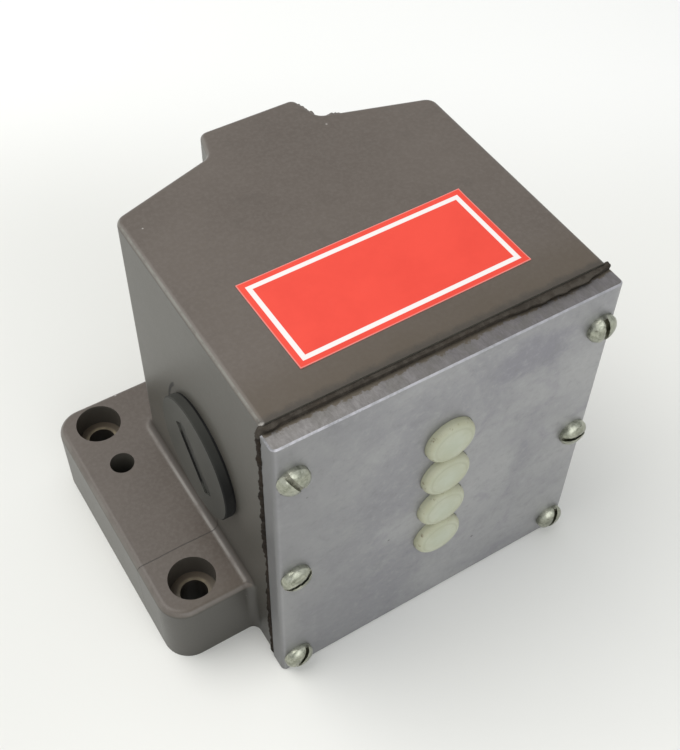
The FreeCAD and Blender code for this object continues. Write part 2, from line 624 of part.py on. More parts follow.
def element_frame():
    """Bent steel bracket: a web behind the stack, a leg below and above it, and ears for its screws."""
    half, low, high = CASE_W / 2, STACK_LOW_Z - FRAME_T, LID_TOP_Z + FRAME_T
    leg_front = CASE_BACK_Y - FRAME_LEG_DEPTH
    web = block(-half, half, CASE_BACK_Y, FRAME_BACK_Y, low, high)
    legs = [block(-half, half, leg_front, FRAME_BACK_Y, z, z + FRAME_T) for z in (low, LID_TOP_Z)]
    ear_span = 2 * (FRAME_SCREW_X + FRAME_EAR_EDGE)
    ears = [centred_block(0, z, ear_span, FRAME_EAR_H, CASE_BACK_Y, FRAME_BACK_Y) for z in FRAME_SCREW_Z]
    holes = [through_y(x, z, FRAME_SCREW_R + HOLE_CLEARANCE, CASE_BACK_Y, FRAME_BACK_Y)
             for x, z in frame_screw_places()]
    return joined(web, legs + ears).cut(holes + stack_bolt_holes(low, high))


def frame_screws():
    sizes = (CASE_BACK_Y, FRAME_HEAD_R, FRAME_HEAD_H, FRAME_SCREW_R, FRAME_SCREW_LENGTH)
    return Part.makeCompound([cheese_head_screw(x, z, *sizes) for x, z in frame_screw_places()])


def stack_bolts():
    top = LID_TOP_Z + FRAME_T
    low = STACK_LOW_Z - FRAME_T - STACK_NUT_H - STACK_BOLT_TAIL_LENGTH
    bolts = [joined(rod_z(x, STACK_BOLT_Y, STACK_BOLT_R, low, top),
                    [rod_z(x, STACK_BOLT_Y, STACK_HEAD_R, top, top + STACK_HEAD_H)])
             for x in both_sides(STACK_BOLT_X)]
    return Part.makeCompound(bolts)


def stack_nuts():
    top = STACK_LOW_Z - FRAME_T
    low = top - STACK_NUT_H
    corner = STACK_NUT_W / 2 / math.cos(math.radians(30))
    nuts = []
    for x in both_sides(STACK_BOLT_X):
        angles = [math.radians(60 * k) for k in range(6)]
        outline = [(x + corner * math.cos(a), STACK_BOLT_Y + corner * math.sin(a)) for a in angles]
        hole = through_z(x, STACK_BOLT_Y, STACK_BOLT_R + SCREW_CLEARANCE, low, top)
        nuts.append(prism(outline, low, top).cut(hole))
    return Part.makeCompound(nuts)


def earth_clamp():
    front = EARTH_Y - CLAMP_T
    washer = centred_block(EARTH_X, EARTH_Z, EARTH_CLAMP_W, EARTH_CLAMP_W, front, EARTH_Y)
    return washer.cut(through_y(EARTH_X, EARTH_Z, EARTH_SCREW_R + HOLE_CLEARANCE, front, EARTH_Y))


def earth_screw():
    seat = EARTH_Y - CLAMP_T
    return cheese_head_screw(EARTH_X, EARTH_Z, seat, EARTH_HEAD_R, EARTH_HEAD_H,
                             EARTH_SCREW_R, EARTH_SCREW_LENGTH)


SINGLE_PIECES = (housing, cover_plate, cover_gasket, cover_screws, cable_entry_plug, plug_seal, plunger_guide,
                 guide_screws, stem_seals, element_lid, element_frame, frame_screws, stack_bolts, stack_nuts,
                 terminal_screws, terminal_clamps, earth_screw, earth_clamp)
PIECES_PER_PLUNGER = (plunger, contact_carrier, contact_bridge, return_spring, switch_case, fixed_contacts)


def build():
    nodes = {make.__name__: make() for make in SINGLE_PIECES}
    for number, z in enumerate(PLUNGER_Z, 1):
        for make in PIECES_PER_PLUNGER:
            nodes[f"{make.__name__}_{number}"] = make(z)
    os.makedirs("parts", exist_ok=True)
    for name, shape in nodes.items():
        shape.exportStep(f"parts/{name}.step")
        print(name, len(shape.Solids), "solids,", round(shape.Volume, 1), "mm3, valid:", shape.isValid())


build()
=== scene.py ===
# %% [markdown]
# # A multiple limit switch, dressed for its picture
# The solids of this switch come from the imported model: a cast housing, a thick cover plate, four plungers
# and the switch elements behind them. This lesson gives them their finishes, and adds the pieces whose
# charm lies in their irregularity: worn slotted screws, turned buttons, wound springs, a gasket that has
# squeezed out, a burr of the casting and a blank label.
# Everything is in metres and in the model's own frame: +Z is up, -Y is the side with the plungers.

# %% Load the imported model
import json
import math
import bpy
import bmesh
import numpy as np
from mathutils import Matrix, Vector


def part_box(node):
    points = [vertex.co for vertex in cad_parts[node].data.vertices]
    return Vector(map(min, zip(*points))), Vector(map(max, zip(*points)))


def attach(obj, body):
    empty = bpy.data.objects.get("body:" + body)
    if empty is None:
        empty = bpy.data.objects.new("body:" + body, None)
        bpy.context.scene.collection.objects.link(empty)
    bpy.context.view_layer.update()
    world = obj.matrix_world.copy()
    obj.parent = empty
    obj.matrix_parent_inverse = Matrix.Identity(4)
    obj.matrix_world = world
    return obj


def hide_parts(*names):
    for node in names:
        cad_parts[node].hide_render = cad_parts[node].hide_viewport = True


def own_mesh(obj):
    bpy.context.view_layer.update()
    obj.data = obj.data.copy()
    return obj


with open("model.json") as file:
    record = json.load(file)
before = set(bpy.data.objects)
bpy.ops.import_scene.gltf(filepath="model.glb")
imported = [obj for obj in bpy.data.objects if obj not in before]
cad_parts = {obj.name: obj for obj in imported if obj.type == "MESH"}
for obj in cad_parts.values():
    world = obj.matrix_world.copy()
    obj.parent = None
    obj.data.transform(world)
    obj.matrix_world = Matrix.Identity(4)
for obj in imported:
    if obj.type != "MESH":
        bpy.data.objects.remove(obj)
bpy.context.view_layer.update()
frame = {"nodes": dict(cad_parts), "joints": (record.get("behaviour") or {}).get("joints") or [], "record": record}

MM = 0.001

# %% [markdown]
# ## The camera
# The photographer stood in front and to the left and looked down at about fifty degrees. The eye's place
# and the three directions of the picture were solved from the straight edges of the housing, so they are
# written as a matrix: right, up and backwards are its columns. A matrix keeps the small tilt of the
# hand-held picture, which a track-to constraint would lose.

# %% Camera
EYE = Vector((-0.09576, -0.15577, 0.25782))
LOOK = Vector((0.34144, 0.53286, -0.77426)).normalized()
RIGHT = Vector((0.85135, -0.52440, 0.01453)).normalized()
PICTURE_PX = (680, 750)
FOCAL_PX = 1170.0
SENSOR_MM = 36.0
NEAREST_SEEN = 10 * MM

UP = RIGHT.cross(LOOK)
camera = bpy.data.objects.new("camera", bpy.data.cameras.new("camera"))
bpy.context.scene.collection.objects.link(camera)
turn = Matrix((RIGHT, UP, -LOOK)).transposed()
camera.matrix_world = Matrix.Translation(EYE) @ turn.to_4x4()
camera.data.sensor_width = SENSOR_MM
camera.data.lens = FOCAL_PX * SENSOR_MM / max(PICTURE_PX)
camera.data.clip_start = NEAREST_SEEN
bpy.context.scene.camera = camera
print("lens", round(camera.data.lens, 2), "mm")

# %% [markdown]
# ## Shader maths as Python
# A finish is a tree of nodes. Wiring it by hand is slow to read, so one small class wraps a socket and lets
# ordinary arithmetic add the Math nodes. A second class is the material: its method `node` makes any node,
# sets its settings first and then its sockets, and the other methods are short words for the patterns that
# a worn metal part needs. All patterns read Object coordinates, which are the model's own metres.

# %% A value that varies over a surface
class Field:
    """Wraps an output socket. Arithmetic on it adds Math nodes to the same finish."""

    def __init__(self, finish, socket):
        self.finish = finish
        self.socket = socket

    def math(self, operation, *values):
        return self.finish.node("ShaderNodeMath", {"operation": operation}, dict(enumerate(values)))

    def __add__(self, other):
        return self.math("ADD", self, other)

    def __sub__(self, other):
        return self.math("SUBTRACT", self, other)

    def __rsub__(self, other):
        return self.math("SUBTRACT", other, self)

    def __mul__(self, other):
        return self.math("MULTIPLY", self, other)

    def __truediv__(self, other):
        return self.math("DIVIDE", self, other)

    def __abs__(self):
        return self.math("ABSOLUTE", self)

    __radd__ = __add__
    __rmul__ = __mul__

    def least(self, other):
        return self.math("MINIMUM", self, other)

    def most(self, other):
        return self.math("MAXIMUM", self, other)

    def fraction(self):
        return self.math("FRACT", self)

    def root(self):
        return self.math("SQRT", self)

    def ease(self, low, high):
        """0 below low, 1 above high and a smooth step between; with low above high it falls instead."""
        return self.finish.node("ShaderNodeMapRange", {"interpolation_type": "SMOOTHSTEP"},
                                {"Value": self, "From Min": low, "From Max": high})

    def ease_mm(self, low, high, place=0.0):
        """The same step for a length, with both its ends given in millimetres from a place."""
        return self.ease(place + low * MM, place + high * MM)


# %% A finish
class Finish:
    """One material, with a word for each kind of node that the finishes below need."""

    def __init__(self, name, **constants):
        self.name = name
        self.material = bpy.data.materials.new(name)
        self.material.use_nodes = True
        self.tree = self.material.node_tree
        self.shader = self.tree.nodes["Principled BSDF"]
        for socket, value in constants.items():
            self.shader.inputs[socket.replace("_", " ")].default_value = value
        self.place = self.node("ShaderNodeTexCoord", out="Object")
        self.x, self.y, self.z = self.parts(self.place)

    def node(self, kind, settings=(), sockets=(), out=0):
        """Make a node, set its settings, then its sockets, and hand back one output."""
        made = self.tree.nodes.new(kind)
        for key, value in dict(settings).items():
            setattr(made, key, value)
        for key, value in dict(sockets).items():
            if isinstance(value, Field):
                self.tree.links.new(value.socket, made.inputs[key])
            else:
                made.inputs[key].default_value = value
        return Field(self, made.outputs[out])

    def parts(self, vector):
        first = self.node("ShaderNodeSeparateXYZ", (), {0: vector})
        return [Field(self, socket) for socket in first.socket.node.outputs]

    def distance(self, first, *others):
        """Root of the sum of the squares of its legs."""
        return sum((leg * leg for leg in others), first * first).root()

    def stretched(self, scale, turn_z=0.0):
        """Object coordinates turned about Z and then multiplied along each axis."""
        sockets = {"Vector": self.place, "Rotation": (0, 0, turn_z), "Scale": scale}
        return self.node("ShaderNodeMapping", {"vector_type": "POINT"}, sockets)

    def noise(self, size_mm, detail=3.0, roughness=0.5, where=None, warp=0.0):
        """Cloudy values about 0.5, with the largest clouds about size_mm across."""
        sockets = {"Vector": where or self.place, "Scale": 1 / (size_mm * MM), "Detail": detail,
                   "Roughness": roughness, "Distortion": warp}
        return self.node("ShaderNodeTexNoise", {"noise_dimensions": "3D"}, sockets)

    def specks(self, cell_mm, radius_share, share):
        """Round specks in a given share of cells: 1 inside a speck, 0 outside."""
        sockets = {"Vector": self.place, "Scale": 1 / (cell_mm * MM)}
        distance = self.node("ShaderNodeTexVoronoi", {"feature": "F1"}, sockets)
        chosen = self.parts(Field(self, distance.socket.node.outputs["Color"]))[0]
        return distance.ease(radius_share, radius_share * 0.5) * chosen.ease(1 - share, 1.02 - share)

    def blend(self, factor, first, second):
        """Colour that goes from first to second as factor goes from 0 to 1."""
        pair = [c if isinstance(c, Field) else (*c, 1.0) for c in (first, second)]
        return self.node("ShaderNodeMix", {"data_type": "RGBA"}, {0: factor, 6: pair[0], 7: pair[1]}, 2)

    def colour_so_far(self):
        """The colour that feeds the shader at present, for a finish that is built on another one."""
        return Field(self, self.shader.inputs["Base Color"].links[0].from_socket)

    def normal(self):
        """The three components of the surface's own direction."""
        return self.parts(self.node("ShaderNodeNewGeometry", out="Normal"))

    def bump(self, height, depth_mm, strength=1.0):
        sockets = {"Height": height, "Distance": depth_mm * MM, "Strength": strength}
        self.link("Normal", self.node("ShaderNodeBump", (), sockets))

    def link(self, socket, field):
        self.tree.links.new(field.socket, self.shader.inputs[socket])


# %% A shelf for the finishes
FINISHES = {}


def keep(finish):
    """Put a finish on the shelf under its name, and say how many nodes it took."""
    FINISHES[finish.name] = finish
    print(finish.name, len(finish.tree.nodes), "nodes")


print("shader words ready")

# %% [markdown]
# ## Housing enamel
# The casting was sprayed with a brown-grey enamel. Handling has thinned it along the edges, where it shines
# lighter, and knocks have left pale specks. The edges are found from the surface's own direction: flat
# faces point along an axis, and only the rounds and coves between them point in between. The two screw
# seats of the flange are rubbed down, and a hairline seam of the mould crosses the flange up to the cable
# entry. Light and shade are painted in as well: painted shade on the upright walls towards the front and
# the bottom, painted shade and a painted highlight in the cove where the wall meets the flange, painted
# shade in the bores of the screw seats, and a painted shadow arc on the wall beside the cable entry. The
# marks are placed from the solids' own boxes, so they stay on the piece that they belong to.

# %% Places on the housing
def middle(low, high):
    """The point halfway between two corners."""
    return [(a + b) / 2 for a, b in zip(low, high)]


FRONT_Y, TOP_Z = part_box("housing")[0].y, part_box("housing")[1].z
WALL_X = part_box("cover_gasket")[0].x
FLANGE_Z = 20.0 * MM
PLUG_LOW, PLUG_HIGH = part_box("cable_entry_plug")
PLUG_R = (PLUG_HIGH.z - PLUG_LOW.z) / 2
ENTRY_Y, ENTRY_Z = middle(PLUG_LOW, PLUG_HIGH)[1:]
FIXING = next(mount for mount in frame["record"]["mounts"] if mount["name"] == "fixing_holes")
HOLE_X, HOLE_Y = FIXING["pos_m"][0], FIXING["dims"]["spacing_y_mm"] / 2 * MM
HOLE_R = FIXING["dims"]["hole_r_mm"] * MM
SCREW_SEAT_R = 5.6 * MM
SCREW_SEAT_Z = FLANGE_Z - 6.8 * MM
SEAM_Y = -17.0 * MM
ARC_Y, ARC_Z = ENTRY_Y + 0.2 * MM, ENTRY_Z + 0.6 * MM
ARC_R = 16.3 * MM
KNOCK = (WALL_X + 0.1 * MM, FRONT_Y + 0.1 * MM, TOP_Z - 0.4 * MM)
print("wall at x", round(WALL_X, 4), "front at y", round(FRONT_Y, 4), "top at z", round(TOP_Z, 4))


# %% Housing enamel
def housing_enamel():
    finish = Finish("housing_enamel", IOR=1.48)
    nz = finish.normal()[2]
    clouds = finish.noise(45, 4, 0.6)
    grain = finish.noise(0.9, 4, 0.65)
    colour = finish.blend(clouds.ease(0.3, 0.7), (0.084, 0.067, 0.054), (0.104, 0.085, 0.070))
    colour = finish.blend(grain.ease(0.35, 0.75) * 0.5, colour, (0.128, 0.110, 0.094))
    stain = finish.noise(14, 5, 0.6, warp=1.5).ease(0.56, 0.72) * 0.3
    colour = finish.blend(stain, colour, (0.060, 0.048, 0.038))

    steep = nz.ease(0.5, 0.1)
    colour = finish.blend(steep * 0.7, colour, (0.077, 0.077, 0.065))
    # painted shade: the upright walls are painted darker towards the front and the bottom
    painted_wall_shade = steep * finish.y.ease(5 * MM, FRONT_Y - 0.3 * MM) * (0.30 + 0.70 * finish.z.ease_mm(70, 10))
    colour = finish.blend(painted_wall_shade * 0.75, colour, (0.042, 0.039, 0.033))

    slope = nz.ease(0.25, 0.55) * nz.ease(0.97, 0.80)
    cove = finish.x.ease_mm(-2.9, -1.7, WALL_X) * finish.z.ease_mm(3.5, 2.5, FLANGE_Z)
    wear = slope * (1 - cove * 0.75) * (0.35 + 0.65 * finish.noise(20, 3, 0.6).ease(0.35, 0.65))
    colour = finish.blend(wear * 0.5, colour, (0.225, 0.215, 0.195))

    beside_wall = finish.x.ease_mm(-2.3, -1.9, WALL_X) * finish.x.ease_mm(0.5, 0.1, WALL_X)
    in_cove = beside_wall * finish.z.ease_mm(2.6, 2.2, FLANGE_Z) * finish.z.ease_mm(-0.1, 0.0, FLANGE_Z)
    shaded = in_cove * nz.ease(0.02, 0.10) * nz.ease(0.93, 0.75)
    colour = finish.blend(shaded * 0.6, colour, (0.036, 0.032, 0.027))
    # painted highlight: a thin lighter line along the cove's upper part, stronger towards the front
    painted_cove_highlight = in_cove * nz.ease(0.86, 0.93) * nz.ease(0.995, 0.975) * finish.noise(8, 4, 0.6).ease(0.3, 0.6)
    colour = finish.blend(painted_cove_highlight * finish.y.ease_mm(32, -5) * 0.55, colour, (0.25, 0.24, 0.215))

    upper_edge = slope * finish.x.ease_mm(1.6, 0.9, WALL_X) * finish.z.ease_mm(-2.8, -1.8, TOP_Z)
    crest = upper_edge * nz.ease(0.45, 0.62) * nz.ease(0.90, 0.76) * finish.noise(3, 4, 0.7).ease(0.32, 0.55)
    colour = finish.blend(upper_edge * 0.22 + crest * 0.5, colour, (0.240, 0.238, 0.210))
    handled = finish.y.ease_mm(16.7, 0.7, FRONT_Y) * nz.ease(0.8, 0.95)
    colour = finish.blend(handled * (0.46 + 0.50 * finish.noise(7, 5, 0.7)), colour, (0.074, 0.056, 0.036))
    ragged = finish.y + (finish.noise(3, 5, 0.75) - 0.5) * (3 * MM)
    by_gasket = ragged.ease_mm(2.1, 0.3, FRONT_Y) * nz.ease(0.2, 0.5)
    colour = finish.blend(by_gasket * 0.75, colour, (0.034, 0.029, 0.022))

    chips = finish.specks(6.0, 0.05, 0.08).most(finish.specks(14, 0.028, 0.2))
    knock = finish.distance(finish.x - KNOCK[0], finish.y - KNOCK[1], finish.z - KNOCK[2])
    chips = chips.most((knock + finish.noise(1.2, 3) * (1.2 * MM)).ease_mm(1.6, 1.2))
    colour = finish.blend(chips * 0.7, colour, (0.42, 0.40, 0.37))

    from_hole = finish.distance(finish.x - HOLE_X, abs(finish.y) - HOLE_Y)
    inside = from_hole.ease_mm(0.25, -0.10, SCREW_SEAT_R)
    seat = inside * nz.ease(0.6, 0.9) * finish.z.ease_mm(1.8, 0.8, SCREW_SEAT_Z)
    # painted shade: the bore walls of the screw seats are painted darker
    sunk = inside * finish.z.ease_mm(-0.2, -1.2, FLANGE_Z)
    colour = finish.blend(sunk * 0.55, colour, (0.045, 0.036, 0.028))
    colour = finish.blend(seat * 0.8, colour, (0.105, 0.082, 0.056))
    burnish = seat * from_hole.ease_mm(1.1, 0.4, HOLE_R) * (0.4 + 0.6 * finish.noise(3, 3).ease(0.4, 0.6))
    colour = finish.blend(burnish, colour, (0.245, 0.205, 0.135))

    on_flange = finish.x.ease_mm(1.1, 0.1, WALL_X) * finish.z.ease_mm(-14.7, -15.3, ENTRY_Z)
    wander = (finish.noise(9, 2) - 0.5) * (0.6 * MM)
    half_seam = 0.06 * MM + 0.16 * MM * finish.z.ease_mm(0.5, 2.5, FLANGE_Z)
    seam = (abs(finish.y - SEAM_Y + wander) - half_seam).ease_mm(0.12, 0.0) * on_flange
    colour = finish.blend(seam * 0.85, colour, (0.030, 0.025, 0.021))
    # painted shadow: a thin dark arc on the wall at the upper back edge of the cable entry
    arc_y, arc_z = finish.y - ARC_Y, finish.z - ARC_Z
    ring = abs(finish.distance(arc_y, arc_z) - ARC_R).ease_mm(0.60, 0.30)
    ring = ring * finish.x.ease_mm(0.2, 0.1, WALL_X)
    painted_shadow_arc = ring * arc_y.ease_mm(11.8, 12.6) * arc_z.ease_mm(-0.5, 0.5)
    colour = finish.blend(painted_shadow_arc, colour, (0.006, 0.005, 0.004))

    finish.link("Base Color", colour)
    finish.link("Roughness", 0.29 + 0.12 * clouds + 0.10 * grain - 0.05 * wear)
    finish.bump(grain * 0.6 - chips * 0.8 - seam * 2.0 + finish.noise(6, 3) * 0.8, 0.05, 0.55)
    return finish


keep(housing_enamel())

# %% [markdown]
# ## Cover plate aluminium
# The plate is sawn from bar and left bare, so it has dulled to a bluish grey with wiped smears and finger
# stains. Its upper end keeps the saw's marks across the thickness, and the front edge there was broken with
# a file, which still shines. The marks come from noise squeezed along one axis only. Shade is painted in
# too: the face is painted darker towards its left end, and its left side darker still.

# %% Cover plate aluminium
PLATE_LOW, PLATE_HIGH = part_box("cover_plate")
THUMB_X, THUMB_Z = 18.0 * MM, 78.5 * MM
SAW_TURN = 0.7


def plate_aluminium():
    finish = Finish("plate_aluminium", Metallic=0.92)
    nx, ny, nz = finish.normal()
    mottle = finish.noise(26, 6, 0.62, warp=0.6)
    smear = finish.noise(15, 5, 0.6, warp=0.9)
    fine = finish.noise(0.7, 3, 0.6)
    # slow mottle, with painted shade: the face is painted duller towards the left
    mottle_and_painted_shade = (mottle + finish.x * 1.6).ease(0.27, 0.69)
    colour = finish.blend(mottle_and_painted_shade, (0.300, 0.299, 0.318), (0.402, 0.402, 0.408))
    colour = finish.blend(smear.ease(0.50, 0.78) * 0.25, colour, (0.405, 0.407, 0.402))
    blot = finish.distance((finish.x - THUMB_X) * 0.55, finish.z - THUMB_Z)
    thumb = blot + (finish.noise(9, 4, 0.6, warp=1.0) - 0.5) * (12 * MM)
    colour = finish.blend(thumb.ease_mm(7.5, 3.0) * 0.6, colour, (0.236, 0.232, 0.270))
    colour = finish.blend(smear.ease(0.44, 0.30) * 0.35, colour, (0.262, 0.254, 0.292))
    stain = finish.noise(10, 6, 0.7, warp=0.8).ease(0.56, 0.74) * 0.32
    colour = finish.blend(stain, colour, (0.212, 0.218, 0.216))
    fleck = finish.noise(2.4, 6, 0.75)
    colour = finish.blend(fleck.ease(0.50, 0.72) * 0.33, colour, (0.215, 0.215, 0.220))
    colour = finish.blend(fleck.ease(0.50, 0.30) * 0.28, colour, (0.480, 0.480, 0.485))
    pits = finish.specks(6.5, 0.07, 0.22)
    colour = finish.blend(pits * 0.6, colour, (0.09, 0.085, 0.085))

    # painted shade: the face is painted darker towards its left end, and the side that points left darker still
    colour = finish.blend(finish.x.ease_mm(-8, -40) * 0.45, colour, (0.205, 0.205, 0.210))
    colour = finish.blend(nx.ease(-0.35, -0.85) * 0.55, colour, (0.140, 0.141, 0.140))

    upper_end = nz.ease(0.9, 0.98) * finish.z.ease_mm(-1.4, -0.6, PLATE_HIGH.z)
    saw = finish.noise(0.8, 5, 0.75, where=finish.stretched((1.0, 0.35, 1.0), SAW_TURN), warp=0.5)
    scraped = finish.x.ease_mm(10, -35) * 0.7
    dark_end = finish.blend(scraped, (0.150, 0.141, 0.143), (0.205, 0.196, 0.186))
    pale_end = finish.blend(scraped, (0.205, 0.194, 0.198), (0.310, 0.298, 0.288))
    sawn = finish.blend(saw.ease(0.3, 0.7), dark_end, pale_end)
    patch = finish.noise(5, 5, 0.7, warp=0.8)
    sawn = finish.blend(patch.ease(0.40, 0.66) * 0.5, sawn, (0.150, 0.143, 0.128))
    ragged = finish.y + (finish.noise(2.2, 4, 0.75) - 0.5) * (4 * MM)
    sawn = finish.blend(ragged.ease_mm(-1.3, -0.7, PLATE_HIGH.y) * 0.85, sawn, (0.120, 0.100, 0.073))
    colour = finish.blend(upper_end, colour, sawn)

    filed = nz.ease(0.42, 0.62) * nz.ease(0.92, 0.82) * finish.noise(2.2, 4, 0.75).ease(0.40, 0.60) * 0.8
    corner = abs(nx).ease(0.3, 0.6) * abs(ny).ease(0.3, 0.6) * 0.12 * finish.noise(25, 3)
    colour = finish.blend(filed.most(corner), colour, (0.42, 0.415, 0.44))

    finish.link("Base Color", colour)
    finish.link("Roughness", 0.42 + 0.16 * mottle - 0.06 * smear + 0.12 * upper_end - 0.05 * filed)
    finish.bump(fine * 0.3 + saw * upper_end * 1.5 - pits * 1.5, 0.04, 0.5)
    return finish


keep(plate_aluminium())

# %% [markdown]
# ## Rubber, zinc and plastics
# The smaller finishes follow one idea: a base colour in two shades, a pattern that says what the stuff is,
# and a trace of use. Rubber is matt and crumbly and gathers dust on top, zinc is blotched with crystals, old
# cream plastic yellows unevenly and gathers dirt at its rim, and moulded black plastic shows dust.

# %% Gasket and seal rubber
def rubber(name, dark, pale):
    """Dark patches with pale crumbs, and brown dust on whatever lies level with the housing's top."""
    finish = Finish(name, IOR=1.45, Specular_IOR_Level=0.15)
    crumbs = finish.noise(1.1, 5, 0.75)
    patches = finish.noise(6, 4, 0.6)
    colour = finish.blend(patches.ease(0.35, 0.7), dark, tuple(2.2 * c for c in dark))
    colour = finish.blend(crumbs.ease(0.58, 0.72) * 0.55, colour, pale)
    clumps = finish.noise(2.4, 5, 0.75).ease(0.42, 0.62)
    settled = finish.z.ease_mm(-3.0, -2.0, TOP_Z) * (0.5 + 0.5 * clumps)
    colour = finish.blend(settled, colour, (0.063, 0.055, 0.045))
    finish.link("Base Color", colour)
    finish.link("Roughness", 0.62 + 0.25 * crumbs)
    finish.bump(crumbs, 0.35, 0.8)
    return finish


keep(rubber("gasket_rubber", (0.011, 0.008, 0.0055), (0.100, 0.074, 0.048)))
keep(rubber("seal_rubber", (0.008, 0.008, 0.008), (0.030, 0.029, 0.027)))


# %% Zinc plating on the screws
def zinc_steel(name, dull, bright, grime_share, roughness):
    """Blotched crystals between two greys, with grime in the hollows of the noise."""
    finish = Finish(name, Metallic=1.0)
    crystal = finish.noise(1.6, 5, 0.7, warp=0.8)
    scuff = finish.noise(0.35, 3, 0.6, where=finish.stretched((1.0, 1.0, 0.25)))
    colour = finish.blend(crystal.ease(0.34, 0.66), dull, bright)
    grime = finish.noise(2.6, 5, 0.7).ease(0.66 - grime_share, 0.80 - grime_share)
    colour = finish.blend(grime * 0.75, colour, (0.085, 0.078, 0.058))
    finish.link("Base Color", colour)
    finish.link("Roughness", roughness + 0.22 * crystal + 0.12 * grime - 0.08 * scuff)
    finish.bump(crystal * 0.6 + scuff * 0.4, 0.05, 0.5)
    return finish


def slotted_zinc():
    """The cover screws' plating: darker where the piece's own groove attribute says slot or thread."""
    finish = zinc_steel("zinc_screw_steel", (0.235, 0.245, 0.195), (0.445, 0.455, 0.375), 0.08, 0.24)
    groove = finish.node("ShaderNodeAttribute", {"attribute_name": "groove"}, (), "Fac")
    dirt = groove * (0.20 + 0.5 * finish.noise(1.2, 4))
    finish.link("Base Color", finish.blend(dirt, finish.colour_so_far(), (0.100, 0.085, 0.064)))
    return finish


keep(slotted_zinc())

# %% Plunger plastic
ROW_PITCH = 12 * MM
ROW_START = middle(*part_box("plunger_1"))[2] - ROW_PITCH / 2


def plunger_plastic():
    """Cream plastic in rings about each plunger's axis; the rings repeat at the pitch of the row."""
    finish = Finish("plunger_plastic", IOR=1.5)
    along = ((finish.z - ROW_START) / ROW_PITCH).fraction() - 0.5
    from_middle = finish.distance(finish.x, along * ROW_PITCH)
    cloud = finish.noise(5, 4, 0.6)
    colour = finish.blend(cloud.ease(0.35, 0.68), (0.400, 0.415, 0.300), (0.450, 0.470, 0.370))
    colour = finish.blend(from_middle.ease_mm(4.2, 1.0) * 0.3, colour, (0.430, 0.485, 0.400))
    rim = from_middle.ease_mm(4.6, 5.8)
    colour = finish.blend(rim * 0.4, colour, (0.430, 0.415, 0.265))
    broken = 0.4 + 0.6 * finish.noise(2.5, 4, 0.65).ease(0.35, 0.6)
    ring = abs(from_middle - 4.5 * MM).ease_mm(0.45, 0.10) * broken
    colour = finish.blend(ring * 0.35, colour, (0.300, 0.300, 0.195))
    dirt = rim * finish.noise(1.3, 5, 0.7).ease(0.58, 0.70)
    colour = finish.blend(dirt * 0.7, colour, (0.130, 0.085, 0.045))
    finish.link("Base Color", colour)
    finish.link("Roughness", 0.42 + 0.18 * cloud + 0.15 * dirt)
    finish.bump(finish.noise(0.8, 3) * 0.5 + cloud * 0.5, 0.04, 0.4)
    return finish


keep(plunger_plastic())


# %% Moulded plastics
def moulded(name, dark, pale, grain_mm, roughness, dust=(0.2, 0.2, 0.19), dust_share=0.15):
    """Two shades in slow clouds, a moulding grain in the bump, and a thin film of dust."""
    finish = Finish(name, IOR=1.5)
    flow = finish.noise(9, 4, 0.6, warp=1.0)
    grain = finish.noise(grain_mm, 3, 0.6)
    film = finish.noise(5, 5, 0.7).ease(0.45, 0.75) * dust_share
    colour = finish.blend(flow.ease(0.35, 0.65), dark, pale)
    colour = finish.blend(film, colour, dust)
    finish.link("Base Color", colour)
    finish.link("Roughness", roughness + 0.12 * flow + 0.25 * film)
    finish.bump(grain, 0.03, 0.45)
    return finish


keep(moulded("guide_plastic", (0.52, 0.50, 0.44), (0.62, 0.60, 0.54), 0.7, 0.42))
keep(moulded("case_plastic", (0.055, 0.030, 0.018), (0.085, 0.048, 0.030), 0.9, 0.34))

# %% Plug plastic
PLUG_SLOT_TURN = math.radians(49.5)
SLOT_EDGE = 2.2 * MM


def plug_plastic():
    """Black plastic whose outer face was dulled by the same handling and overspray as the wall round it, with
    painted light: a painted highlight on the upper flank, painted shade on the slot floor and towards the front.
    """
    finish = moulded("plug_plastic", (0.007, 0.007, 0.0065), (0.011, 0.011, 0.0105), 0.6, 0.34,
                     dust_share=0.03)
    finish.shader.inputs["Specular IOR Level"].default_value = 0.2
    off_y, off_z = finish.y - ENTRY_Y, finish.z - ENTRY_Z
    cos, sin = math.cos(PLUG_SLOT_TURN), math.sin(PLUG_SLOT_TURN)
    along, across = off_y * cos + off_z * sin, off_z * cos - off_y * sin
    face = finish.normal()[0].ease(-0.90, -0.98)
    on_flank = finish.distance(off_y, off_z).ease_mm(-1.0, -0.4, PLUG_R)
    slot_ends = abs(along).ease_mm(5.8, 7.0) * (1 - on_flank)
    # painted highlight: the upper part of the flank, which faces up, is painted light like the face; the slot ends
    # take the overspray
    painted_flank_highlight_and_slot_overspray = (on_flank * off_z.ease_mm(4, 13) * 0.6).most(slot_ends)
    # painted shade: the slot floor is painted darker than the rest of the face
    slot_floor = face * finish.x.ease_mm(0.15, 0.35, PLUG_LOW.x)
    film = face.most(painted_flank_highlight_and_slot_overspray) * (0.75 + 0.25 * finish.noise(6, 5, 0.65)) * (1 - 0.35 * slot_floor)
    # painted shade: the overspray colour is painted darker towards the front
    overspray_with_painted_shade = finish.blend(off_y.ease_mm(2, -10), (0.070, 0.070, 0.061), (0.046, 0.047, 0.041))
    scratch = abs(across - SLOT_EDGE).ease_mm(0.60, 0.25) * abs(along).ease_mm(8.8, 8.0)
    scratch = scratch * finish.noise(1.6, 3).ease(0.34, 0.48)
    overspray_with_painted_shade = finish.blend(scratch, overspray_with_painted_shade, (0.003, 0.003, 0.003))
    finish.link("Base Color", finish.blend(film, finish.colour_so_far(), overspray_with_painted_shade))
    finish.link("Roughness", 0.75 - 0.36 * face)
    return finish


keep(plug_plastic())


